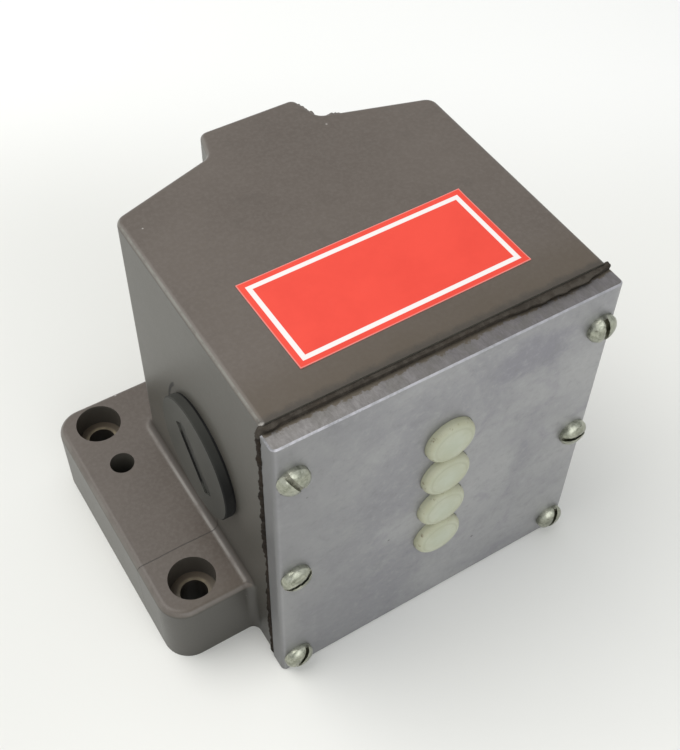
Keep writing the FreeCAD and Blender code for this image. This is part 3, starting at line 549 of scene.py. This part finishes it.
# %% Brass and steels inside
def inner_metal(name, shade, light, roughness, line_mm):
    """Rolled strip or drawn wire: fine lines along one axis under a slow change of tarnish."""
    finish = Finish(name, Metallic=1.0)
    tarnish = finish.noise(6, 5, 0.65, warp=0.7)
    lines = finish.noise(line_mm, 3, 0.6, where=finish.stretched((0.1, 1.0, 1.0)))
    colour = finish.blend(tarnish.ease(0.32, 0.68), shade, light)
    finish.link("Base Color", finish.blend(lines.ease(0.55, 0.75) * 0.3, colour, light))
    finish.link("Roughness", roughness + 0.2 * tarnish - 0.08 * lines)
    finish.bump(lines, 0.02, 0.4)
    return finish


keep(inner_metal("contact_brass", (0.52, 0.36, 0.14), (0.78, 0.58, 0.27), 0.24, 0.3))
keep(inner_metal("inner_steel", (0.42, 0.42, 0.40), (0.62, 0.62, 0.58), 0.30, 0.35))
keep(inner_metal("spring_steel", (0.30, 0.29, 0.28), (0.50, 0.49, 0.47), 0.22, 0.2))

# %% [markdown]
# ## Finishes on the solids
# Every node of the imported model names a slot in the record, and the finishes are kept under the same names.
# Each node takes its own from the shelf, so no piece is left grey.

# %% Give each solid its finish
for part in frame["record"]["subparts"]:
    node_object = frame["nodes"][part["node"]]
    for material_slot in node_object.material_slots:
        material_slot.material = FINISHES[part["material_slot"]].material

# %% [markdown]
# ## Surfaces from arrays
# A new piece is a grid of points: two parameters go in and an array of places comes out, with no loop over
# vertices. One helper turns the grid's neighbours into faces, another joins several grids into one mesh,
# welds the seams, turns all faces outwards and hands the piece to its body.

# %% Grids to faces
def grid_faces(rows, columns, around=False, start=0):
    """Quads between neighbours of a rows by columns grid; around joins the last column to the first."""
    row = np.arange(rows - 1)[:, None]
    column = np.arange(columns if around else columns - 1)[None, :]
    following = (column + 1) % columns
    quads = np.stack([row * columns + column, row * columns + following,
                      (row + 1) * columns + following, (row + 1) * columns + column], -1)
    return quads.reshape(-1, 4) + start


print("a 3 by 4 grid has", len(grid_faces(3, 4)), "faces, and", len(grid_faces(3, 4, True)), "when closed")

# %% Grids to a piece
WELD_DISTANCE = 2e-6
SLIVER = 1e-7


def add_piece(name, grids, finish, body="switch_body", groove=None, smooth_degrees=35):
    """Join (points, around) grids into one welded mesh whose faces point outwards, and let it ride."""
    points, faces, start = [], [], 0
    for grid, around in grids:
        rows, columns = grid.shape[:2]
        faces.append(grid_faces(rows, columns, around, start))
        points.append(grid.reshape(-1, 3))
        start += rows * columns
    mesh = bpy.data.meshes.new(name)
    mesh.from_pydata(np.concatenate(points).tolist(), [], np.concatenate(faces).tolist())
    if groove is not None:
        mesh.attributes.new("groove", "FLOAT", "POINT").data.foreach_set("value", groove.astype(np.float32))
    work = bmesh.new()
    work.from_mesh(mesh)
    bmesh.ops.remove_doubles(work, verts=work.verts, dist=WELD_DISTANCE)
    bmesh.ops.dissolve_degenerate(work, edges=work.edges, dist=SLIVER)
    bmesh.ops.recalc_face_normals(work, faces=work.faces)
    work.to_mesh(mesh)
    open_edges = sum(not edge.is_manifold for edge in work.edges)
    work.free()
    mesh.shade_smooth()
    mesh.set_sharp_from_angle(angle=math.radians(smooth_degrees))
    mesh.materials.append(finish.material)
    piece = bpy.data.objects.new(name, mesh)
    bpy.context.scene.collection.objects.link(piece)
    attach(piece, body)
    print(name, len(mesh.polygons), "faces,", open_edges, "open edges")
    return piece


# %% Round angles and wandering lengths
def full_turn(count):
    """Angles round a circle, without the last one, which is the first again."""
    return np.linspace(0, 2 * np.pi, count, endpoint=False)


def waves(phase, counts, seed):
    """Sum of sines with whole counts of turns round a closed path, weighted 1/sqrt(count), about -1 to 1."""
    draw = np.random.default_rng(seed)
    shift = draw.uniform(0, 2 * np.pi, len(counts))
    weight = 1 / np.sqrt(np.asarray(counts, float))
    angles = 2 * np.pi * np.multiply.outer(phase, np.asarray(counts, float)) + shift
    return (np.sin(angles) * weight).sum(-1) / weight.sum() * 2


print("a wave reaches", round(float(np.abs(waves(full_turn(100) / (2 * np.pi), [3, 7], 4)).max()), 2))

# %% [markdown]
# ## Slotted cover screws
# Six cheese-head screws hold the plate. Their heads are domed, the slots are chewed by screwdrivers, and
# each one stopped at its own angle. A head could be a revolved profile with a slot cut by a boolean, but a
# boolean leaves ragged triangles at the slot. Here the head is a stack of chords that run along the slot, so
# the slot's two edges fall exactly on grid lines. The shank is a tube whose radius follows a helix.

# %% A screw's head
HEAD_R = 3.5 * MM
HEAD_H = 2.6 * MM
DOME = 0.85 * MM
RIM_DROP = 0.75 * MM
SLOT_W = 1.1 * MM
SLOT_FLOOR = 1.15 * MM
SLOT_FLOOR_WAVE = 0.05 * MM
EDGE_WEAR = 0.10 * MM
EDGE_WEAR_REACH = 0.22 * MM
SIDE_CHORDS = 22
SLOT_CHORDS = 5
CHORD_POINTS = 45


def head_top(chew):
    """Chords of a disc at distance s from its middle: height = H - dome r^2 - rim r^8, less the slot."""
    lip = math.asin(SLOT_W / 2 / HEAD_R)
    outer = HEAD_R * np.sin(np.linspace(-math.pi / 2, -lip, SIDE_CHORDS))
    groove = np.linspace(-SLOT_W / 2, SLOT_W / 2, SLOT_CHORDS)
    across = np.concatenate([outer, groove, -outer[::-1]])
    in_slot = np.concatenate([np.zeros(SIDE_CHORDS), np.ones(SLOT_CHORDS), np.zeros(SIDE_CHORDS)])
    along = np.sin(np.linspace(-math.pi / 2, math.pi / 2, CHORD_POINTS))
    s = across[:, None] + 0 * along[None, :]
    a = np.sqrt(np.maximum(HEAD_R ** 2 - across ** 2, 0))[:, None] * along[None, :]
    share = np.hypot(a, s) / HEAD_R
    height = HEAD_H - DOME * share ** 2 - RIM_DROP * share ** 8
    edge = np.maximum(np.abs(s) - SLOT_W / 2, 0)
    bruise = 1 + 0.8 * np.sin(a / HEAD_R * 5 + chew) * np.sin(a / HEAD_R * 11 + 2 * chew)
    height = height - EDGE_WEAR * bruise * np.exp(-(edge / EDGE_WEAR_REACH) ** 2)
    floor = SLOT_FLOOR + SLOT_FLOOR_WAVE * np.sin(a / HEAD_R * 7 + chew)
    height = np.where(in_slot[:, None] > 0, floor, height)
    return np.stack([a, s, height], -1), in_slot[:, None] + 0 * a


def head_skirt(top):
    """Ring from the top's outline straight down to the seat, then in to the axis."""
    loop = np.concatenate([top[:, -1], top[::-1, 0]])
    foot = loop * (1, 1, 0)
    return np.stack([loop, foot, foot * (0, 0, 0)])


print("a head's top is a grid of", head_top(0.0)[0].shape[:2])

# %% A threaded shank
SHANK_R = 2.0 * MM
SHANK_LENGTH = 16.0 * MM
SHANK_INTO_HEAD = 0.3 * MM
THREAD_PITCH = 0.7 * MM
THREAD_DEPTH = 0.36 * MM
THREAD_START = 0.5 * MM
THREAD_RUN_IN = 1.0 * MM
TIP_LENGTH = 0.8 * MM
TIP_SHARE = 0.7
SHANK_ROWS = 150
SHANK_SIDES = 28


def threaded_shank():
    """Tube below the seat: radius = crest - depth * triangle wave of (length/pitch - angle/turn)."""
    angle = full_turn(SHANK_SIDES)
    down = np.linspace(-SHANK_INTO_HEAD, SHANK_LENGTH, SHANK_ROWS)
    phase = down[:, None] / THREAD_PITCH - angle[None, :] / (2 * np.pi)
    valley = np.abs((phase % 1.0) * 2 - 1)
    cut = np.clip((down - THREAD_START) / THREAD_RUN_IN, 0, 1)[:, None]
    radius = SHANK_R - THREAD_DEPTH * valley * cut
    radius = radius * np.clip((SHANK_LENGTH - down) / TIP_LENGTH + TIP_SHARE, 0, 1)[:, None]
    radius[[0, -1]] = 0
    radius = np.concatenate([radius[:1], radius[1:2], radius[1:-1], radius[-2:-1], radius[-1:]])
    down = np.concatenate([down[:1], down[:1], down[1:-1], down[-1:], down[-1:]])
    depth = np.broadcast_to(-down[:, None], radius.shape)
    return np.stack([radius * np.cos(angle), radius * np.sin(angle), depth], -1)


print("turns of thread", round((SHANK_LENGTH - THREAD_START) / THREAD_PITCH, 1))

# %% Six screws where the solids have theirs
low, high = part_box("cover_screws")
SEAT_Y = PLATE_LOW.y
SCREW_X = (low.x + HEAD_R, high.x - HEAD_R)
SCREW_Z = np.linspace(low.z + HEAD_R, high.z - HEAD_R, 3)
SLOT_TURNS = ((54, 21, 119), (71, -2, 93))
THREAD_GRIME = 0.5


def seated(points, x, z, degrees):
    """Turn (along slot, across slot, outwards) into the frame, with the slot at an angle in the plate."""
    c, s = math.cos(math.radians(degrees)), math.sin(math.radians(degrees))
    a, b, h = points[..., 0], points[..., 1], points[..., 2]
    return np.stack([x + a * c - b * s, SEAT_Y - h, z + a * s + b * c], -1)


screw_grids, screw_groove = [], []
for side, x in enumerate(SCREW_X):
    for level, z in enumerate(SCREW_Z):
        top, in_slot = head_top(chew=1.7 * level + 3.1 * side)
        skirt, shank = head_skirt(top), threaded_shank()
        degrees = SLOT_TURNS[side][level]
        screw_grids += [(seated(top, x, z, degrees), False), (seated(skirt, x, z, degrees), True),
                        (seated(shank, x, z, degrees), True)]
        screw_groove += [in_slot.ravel(), np.zeros(skirt.size // 3), np.full(shank.size // 3, THREAD_GRIME)]
screws = add_piece("slotted_cover_screws", screw_grids, FINISHES["zinc_screw_steel"],
                   groove=np.concatenate(screw_groove), smooth_degrees=40)
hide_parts("cover_screws")

# %% [markdown]
# ## Plunger buttons
# The four cream buttons are lathe-turned: a face that bulges a hair, a fine crease inside the rim, and a
# rounded edge. The solids have a plain bevel there, which catches the light too sharply. Each button is a
# profile turned about its own axis, fits over the solid's head with a few hundredths to spare, and rides on
# its plunger.

# %% Turned buttons
BUTTON_H = 2.20 * MM
BUTTON_BULGE = 0.14 * MM
BUTTON_FACE_R = 4.30 * MM
BUTTON_CREASE = np.array([[4.42, 2.03], [4.50, 2.02], [4.58, 2.03]]) * MM
BUTTON_RIM_W = 1.35 * MM
BUTTON_RIM_H = 1.58 * MM
BUTTON_SUNK = 2.0 * MM
BUTTON_POINTS = 16
BUTTON_SIDES = 96
PLUNGERS = range(1, 5)


def button(x, z, face_y):
    """Profile (radius, height above the plate) turned about Y: dome, crease, elliptic rim, side and back."""
    face_r = np.linspace(0, BUTTON_FACE_R, BUTTON_POINTS)
    face = np.stack([face_r, BUTTON_H - BUTTON_BULGE * (face_r / BUTTON_FACE_R) ** 2], -1)
    bend = np.linspace(np.pi / 2, 0, BUTTON_POINTS)[1:]
    rim_r, rim_h = BUTTON_CREASE[-1]
    rim = np.stack([rim_r + BUTTON_RIM_W * np.cos(bend), rim_h - BUTTON_RIM_H * (1 - np.sin(bend))], -1)
    back = np.array([[rim_r + BUTTON_RIM_W, -BUTTON_SUNK], [0, -BUTTON_SUNK]])
    profile = np.concatenate([face, BUTTON_CREASE, rim, back])
    angle = full_turn(BUTTON_SIDES)
    radius, height = profile[:, :1], profile[:, 1:]
    y = face_y - height + 0 * angle
    return np.stack([x + radius * np.cos(angle), y, z + radius * np.sin(angle)], -1)


for number in PLUNGERS:
    axis_x, _, axis_z = middle(*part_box(f"plunger_{number}"))
    turned = button(axis_x, axis_z, SEAT_Y)
    piece = add_piece(f"plunger_button_{number}", [(turned, True)], FINISHES["plunger_plastic"],
                      body=f"plunger_{number}", smooth_degrees=50)

# %% [markdown]
# ## Return springs
# The solid springs are wound from square wire and stay as long as they are at rest, so at full press they
# would reach through the back wall of their trays. The ones here are round wire with closed end coils. Each
# rides on its plunger.

# %% Wound springs
COIL_TURNS = 4.5
WIRE_R = 0.45 * MM
WIRE_STEPS = 190
WIRE_SIDES = 14
END_CLOSING = 0.065


def wound_spring(low, high):
    """Wire circle w(cos t radial + sin t axial) along a helix about Y that climbs as s - c sin(2 pi s)."""
    share = np.concatenate([[0], np.linspace(0, 1, WIRE_STEPS), [1]])[:, None]
    wire = np.full_like(share, WIRE_R)
    wire[[0, -1]] = 0
    around = full_turn(WIRE_SIDES)
    turn = 2 * np.pi * COIL_TURNS * share
    climb = (high.y - low.y - 2 * WIRE_R) * (share - END_CLOSING * np.sin(2 * np.pi * share))
    radius = (high.z - low.z) / 2 - WIRE_R + wire * np.cos(around)
    axis_x, _, axis_z = middle(low, high)
    return np.stack([axis_x + radius * np.cos(turn), low.y + WIRE_R + climb + wire * np.sin(around),
                     axis_z + radius * np.sin(turn)], -1)


for number in PLUNGERS:
    low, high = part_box(f"return_spring_{number}")
    joint = next(joint for joint in frame["joints"] if joint["child"] == f"plunger_{number}")
    spring = add_piece(f"wound_spring_{number}", [(wound_spring(low, high), True)], FINISHES["spring_steel"],
                       body=f"plunger_{number}", smooth_degrees=60)
    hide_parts(f"return_spring_{number}")
    1 - joint["range_m"][1] / (high.y - low.y)
    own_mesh(spring)

# %% [markdown]
# ## The squeezed gasket
# When the cover was screwed down, the soft gasket oozed out of the joint and set as a ragged dark bead. A
# plain sheet edge would look too clean. The bead is a small rounded section carried round the joint; sums of
# sines with whole numbers of turns make it swell and shrink, and the loop still closes on itself. Down the
# two sides it stands out of the joint. Along the top it hardly rises, but it wanders from side to side.

# %% Path round the joint
def joint_loop(half_width, bottom, top, corner, share):
    """Points and outward directions round a rounded rectangle in x and z, at shares of its length."""
    run_x, run_z = 2 * (half_width - corner), (top - bottom) - 2 * corner
    bend = math.pi / 2 * corner
    lengths = np.array([run_x, bend, run_z, bend] * 2)
    knots = np.concatenate([[0], np.cumsum(lengths)])
    at = share * knots[-1]
    leg = np.clip(np.searchsorted(knots, at, side="right") - 1, 0, len(lengths) - 1)
    rest = at - knots[leg]
    quarter = leg // 2
    heading = np.pi / 2 * quarter + np.where(leg % 2, rest / corner, 0.0)
    centres = np.array([[half_width - corner, bottom + corner], [half_width - corner, top - corner],
                        [-half_width + corner, top - corner], [-half_width + corner, bottom + corner]])
    out = np.stack([np.sin(heading), -np.cos(heading)], -1)
    travel = np.stack([np.cos(heading), np.sin(heading)], -1)
    back = np.where(leg % 2, 0.0, rest - lengths[leg])
    return centres[quarter] + corner * out + travel * back[:, None], out


LOOP_LOW, LOOP_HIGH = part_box("cover_gasket")
print("joint", [round((b - a) / MM, 1) for a, b in zip(LOOP_LOW, LOOP_HIGH)], "mm")

# %% Bead round the joint
BEAD_STEPS = 1400
BEAD_SIDES = 18
LOOP_CORNER_R = 0.8 * MM
BEAD_INWARDS = 0.9 * MM
BEAD_UNDER = 0.15 * MM
SWELL, SLOW_SWELL, QUICK_SWELL = 0.84 * MM, 0.26 * MM, 0.19 * MM
SWELL_LIMITS = (0.05 * MM, 1.3 * MM)
# Each pair below holds the value on the level runs and the value on the upright ones.
SWELL_SHARE = (0.10, 1.0)
HALF_T, HALF_T_WAVE = (0.56 * MM, 0.90 * MM), (0.30 * MM, 0.14 * MM)
BACKWARDS, BACKWARDS_WAVE = (0.0, 0.40 * MM), (0.42 * MM, 0.16 * MM)


def gasket_bead():
    """Section angle t: out = swell(s) cos t, across = half thickness sin t, both roughened along s and t."""
    share = np.arange(BEAD_STEPS) / BEAD_STEPS
    place, out = joint_loop(LOOP_HIGH.x, LOOP_LOW.z, LOOP_HIGH.z, LOOP_CORNER_R, share)

    def by_run(pair):
        return pair[0] + (pair[1] - pair[0]) * np.abs(out[:, 0])

    slow, quick = waves(share, [3, 7, 11, 19, 31], 4), waves(share, [53, 87, 131, 173], 5)
    swell = np.clip(SWELL + SLOW_SWELL * slow + QUICK_SWELL * quick, *SWELL_LIMITS) * by_run(SWELL_SHARE)
    swell = np.where(out[:, 1] < -0.5, np.minimum(swell, BEAD_UNDER), swell)
    thick = by_run(HALF_T) + by_run(HALF_T_WAVE) * waves(share, [5, 13, 29, 71, 113], 6)
    shift = by_run(BACKWARDS) + by_run(BACKWARDS_WAVE) * waves(share, [4, 9, 23, 61], 7)
    angle = full_turn(BEAD_SIDES)
    reach = np.where(np.cos(angle) > 0, swell[:, None], BEAD_INWARDS) * np.cos(angle)
    crumb = 1 + 0.10 * np.sin(5 * angle + 40 * waves(share, [17, 41, 67], 8)[:, None])
    reach = reach * np.where(np.cos(angle) > 0, crumb, 1)
    across = thick[:, None] * np.sign(np.sin(angle)) * np.abs(np.sin(angle)) ** 0.7
    joint_y = (LOOP_LOW.y + LOOP_HIGH.y) / 2 + shift
    flat = place[:, None, :] + out[:, None, :] * reach[..., None]
    ring = np.stack([flat[..., 0], joint_y[:, None] + across, flat[..., 1]], -1)
    return np.concatenate([ring, ring[:1]])


bead = add_piece("squeezed_gasket_bead", [(gasket_bead(), True)], FINISHES["gasket_rubber"],
                 smooth_degrees=60)

# %% [markdown]
# ## A burr left by the mould
# Beside the nose the mould did not close well, and a ragged little burr was left along the upper edge. A
# straight edge would look machined there. Two short lumpy rods lie half sunk in the round of that edge: the
# radius follows a sum of sines, and it fades to nothing at both ends.

# %% Ragged edge beside the nose
EDGE_ROUND = 1.2 * MM
BURR_R = 0.46 * MM
BURR_STEPS = 70
BURR_SIDES = 14
BURR_SEED = 20
BURR_RUNS = np.array([[[12.6, 33.4], [13.9, 28.2]], [[15.6, 26.95], [19.2, 25.87]]]) * MM


def mould_burr(start, end, seed):
    """Rod along s: radius = R (0.55 + 0.45 waves(s)) sqrt(sin(pi s)), in the middle of the edge's round."""
    share = np.linspace(0, 1, BURR_STEPS)[:, None]
    along = end - start
    out = np.array([-along[1], along[0]]) / np.hypot(*along)
    sunk = EDGE_ROUND * (1 - math.sqrt(0.5))
    plan = start + along * share - out * sunk
    lump = np.clip(0.55 + 0.45 * waves(share[:, 0], [1, 2, 4], seed), 0.15, 1)[:, None]
    angle = full_turn(BURR_SIDES)
    radius = BURR_R * lump * np.sqrt(np.abs(np.sin(np.pi * share)))
    radius = radius * (1 + 0.1 * np.sin(2 * angle + 9 * share))
    radius[[0, -1]] = 0
    flat = plan[:, None, :] + out * (radius * np.cos(angle))[..., None]
    height = TOP_Z - sunk + radius * np.sin(angle)
    return np.concatenate([flat, height[..., None]], -1)


burr_grids = [(mould_burr(start, end, BURR_SEED + run), True) for run, (start, end) in enumerate(BURR_RUNS)]
burr = add_piece("casting_burr", burr_grids, FINISHES["housing_enamel"], smooth_degrees=60)

# %% [markdown]
# ## The label on top
# A thin self-adhesive label lies on the top, a little out of square. It is left blank: a red field with a
# plain pale line inside its edge. It could be a texture on the housing, but as a sheet with its own
# thickness it catches the light along its edge. The height is a function of the two directions across the
# sheet: flat in the middle with a faint ripple, dropped to the housing at the rim, and lifted a hair at the
# corners.

# %% Label sheet
LABEL_MIDDLE = (-0.15 * MM, -22.35 * MM)
LABEL_HALF = (27.25 * MM, 12.45 * MM)
LABEL_TURN = math.radians(0.85)
LABEL_T = 0.14 * MM
LABEL_LIFT = 0.10 * MM
LABEL_RIPPLE = 0.012 * MM
RIPPLE_A, RIPPLE_B = 6 * MM, 4 * MM
LABEL_POINTS = (90, 50)
CROWDING = 1.5


def across_label(count):
    """Shares from -1 to 1 that crowd towards the ends, with each end added once more for the drop."""
    inner = np.sin(np.linspace(-CROWDING, CROWDING, count)) / math.sin(CROWDING)
    return np.concatenate([[-1, -1], inner, [1, 1]])


def label_sheet():
    """Top = thickness + corner lift; the outermost rows drop to the housing and the under side closes it."""
    a, b = np.meshgrid(*(half * across_label(count) for half, count in zip(LABEL_HALF, LABEL_POINTS)),
                       indexing="ij")
    to_corner = np.abs(a) / LABEL_HALF[0] + np.abs(b) / LABEL_HALF[1]
    lift = LABEL_LIFT * np.clip((to_corner - 1.75) * 4, 0, 1) ** 2
    ripple = LABEL_RIPPLE * np.sin(a / RIPPLE_A) * np.sin(b / RIPPLE_B)
    height = LABEL_T + lift + ripple
    height[[0, -1], :] = 0
    height[:, [0, -1]] = 0
    c, s = math.cos(LABEL_TURN), math.sin(LABEL_TURN)
    x, y = LABEL_MIDDLE[0] + a * c - b * s, LABEL_MIDDLE[1] + a * s + b * c
    upper = np.stack([x, y, TOP_Z + height], -1)
    lower = np.stack([x, y, np.full_like(x, TOP_Z)], -1)
    return [(upper, False), (lower, False)]


print("label", [round(2 * half / MM, 1) for half in LABEL_HALF], "mm")

# %% Label vinyl
LINE_FROM_EDGE = 1.4
LINE_END = 2.5
LINE_SOFT = 0.06


def label_vinyl():
    """Red in two faded shades, a pale line at a set distance inside the edge, scuffs and a worn rim."""
    finish = Finish("label_vinyl", IOR=1.45)
    shift = finish.node("ShaderNodeVectorMath", {"operation": "SUBTRACT"},
                        {0: finish.place, 1: (*LABEL_MIDDLE, 0)})
    own = finish.node("ShaderNodeMapping", (), {"Vector": shift, "Rotation": (0, 0, -LABEL_TURN)})
    a, b, _ = finish.parts(own)
    inset = (LABEL_HALF[0] - abs(a)).least(LABEL_HALF[1] - abs(b))
    line = inset.ease_mm(LINE_FROM_EDGE - LINE_SOFT, LINE_FROM_EDGE + LINE_SOFT)
    line = line * inset.ease_mm(LINE_END + LINE_SOFT, LINE_END - LINE_SOFT)
    fade = finish.noise(16, 4, 0.6)
    fibre = finish.noise(0.5, 3, 0.6)
    colour = finish.blend(fade.ease(0.3, 0.7), (0.725, 0.048, 0.026), (0.785, 0.060, 0.034))
    scuff = finish.noise(3, 6, 0.75, warp=1.0).ease(0.62, 0.76) * 0.35
    colour = finish.blend(line, colour, (0.82, 0.78, 0.76))
    colour = finish.blend(scuff * 0.6, colour, (0.70, 0.20, 0.16))
    worn = inset.ease_mm(0.30, 0.10) * (0.25 + 0.35 * finish.noise(9, 3))
    colour = finish.blend(worn, colour, (0.80, 0.46, 0.42))
    finish.link("Base Color", colour)
    finish.link("Roughness", 0.48 + 0.12 * fade + 0.2 * scuff)
    finish.bump(fibre * 0.4 + line * 0.6, 0.02, 0.4)
    return finish


keep(label_vinyl())
add_piece("blank_top_label", label_sheet(), FINISHES["label_vinyl"], smooth_degrees=30)

# %% [markdown]
# ## Floor and light
# The switch was put on a pale sheet under soft daylight from above and behind. Light and shade are painted
# into the sheet's colour: it is painted lighter towards the back and painted darker on the left. One large
# lamp overhead gives the top its light, a weak wide one in front fills the plate, and the sky is an even
# pale grey. The lamps stay at a plain level so that colours come out about as they are written.

# %% Floor
FLOOR_R = 3.0
FLOOR_RINGS = 24
FLOOR_SPOKES = 48
BACK_X, BACK_Y = 0.54, 0.84


def floor_disc():
    """Rings of points from the middle to the rim, closer together near the object."""
    ring = np.linspace(0, 1, FLOOR_RINGS)[:, None] ** 2 * FLOOR_R
    angle = full_turn(FLOOR_SPOKES)[None, :]
    return np.stack([ring * np.cos(angle), ring * np.sin(angle), 0 * ring * angle], -1)


paper = Finish("floor_paper", Roughness=0.75)
tone = paper.noise(300, 3)
sheet = paper.blend(tone.ease(0.3, 0.7), (0.805, 0.807, 0.772), (0.845, 0.845, 0.812))
depth = paper.x * BACK_X + paper.y * BACK_Y
# painted light: the sheet is painted lighter towards the back
sheet = paper.blend(depth.ease_mm(60, 180), sheet, (0.925, 0.93, 0.91))
leftwards = paper.y * BACK_X - paper.x * BACK_Y
# painted shade: the sheet is painted darker on the left
painted_shade_left = leftwards.ease_mm(35, 95) * depth.ease_mm(150, 70)
paper.link("Base Color", paper.blend(painted_shade_left * 0.5, sheet, (0.735, 0.740, 0.712)))
mesh = bpy.data.meshes.new("floor")
floor_faces = grid_faces(FLOOR_RINGS, FLOOR_SPOKES, True)
mesh.from_pydata(floor_disc().reshape(-1, 3).tolist(), [], floor_faces.tolist())
mesh.materials.append(paper.material)
floor = bpy.data.objects.new("floor", mesh)
bpy.context.scene.collection.objects.link(floor)
print("floor radius", FLOOR_R, "m")


# %% Lamps
def soft_lamp(name, place, target, width, watts, tint):
    lamp = bpy.data.lights.new(name, "AREA")
    lamp.shape = "DISK"
    lamp.size = width
    lamp.energy = watts
    lamp.color = tint
    holder = bpy.data.objects.new(name, lamp)
    holder.location = place
    holder.rotation_euler = (Vector(target) - Vector(place)).to_track_quat("-Z", "Y").to_euler()
    bpy.context.scene.collection.objects.link(holder)
    print("lamp", name, watts, "W")


AIM = (0, 0, 0.04)
soft_lamp("daylight", (-0.30, 0.26, 0.80), AIM, width=0.8, watts=4.7, tint=(1.0, 0.985, 0.96))
soft_lamp("front_fill", (-0.10, -0.78, 0.50), AIM, width=0.9, watts=2.7, tint=(0.98, 0.99, 1.0))

# %% Sky
SKY_LIGHT = 0.58
SKY_SEEN = 0.85
world = bpy.data.worlds.new("studio_sky")
bpy.context.scene.world = world
world.use_nodes = True
sky = world.node_tree.nodes["Background"]
sky.inputs["Color"].default_value = (0.97, 0.985, 1.0, 1.0)
path = world.node_tree.nodes.new("ShaderNodeLightPath")
seen = world.node_tree.nodes.new("ShaderNodeMath")
seen.operation = "MAXIMUM"
level = world.node_tree.nodes.new("ShaderNodeMapRange")
level.inputs["To Min"].default_value = SKY_LIGHT
level.inputs["To Max"].default_value = SKY_SEEN
for source, target in ((path.outputs["Is Camera Ray"], seen.inputs[0]),
                       (path.outputs["Is Glossy Ray"], seen.inputs[1]),
                       (seen.outputs[0], level.inputs["Value"]), (level.outputs[0], sky.inputs["Strength"])):
    world.node_tree.links.new(source, target)
bpy.context.scene.view_settings.view_transform = "Standard"
print("sky", SKY_LIGHT, "as light and", SKY_SEEN, "as seen")

# %% [markdown]
# ## Size
# The dressed switch must keep the size of its solids.

# %% Finish
print("scene ready")
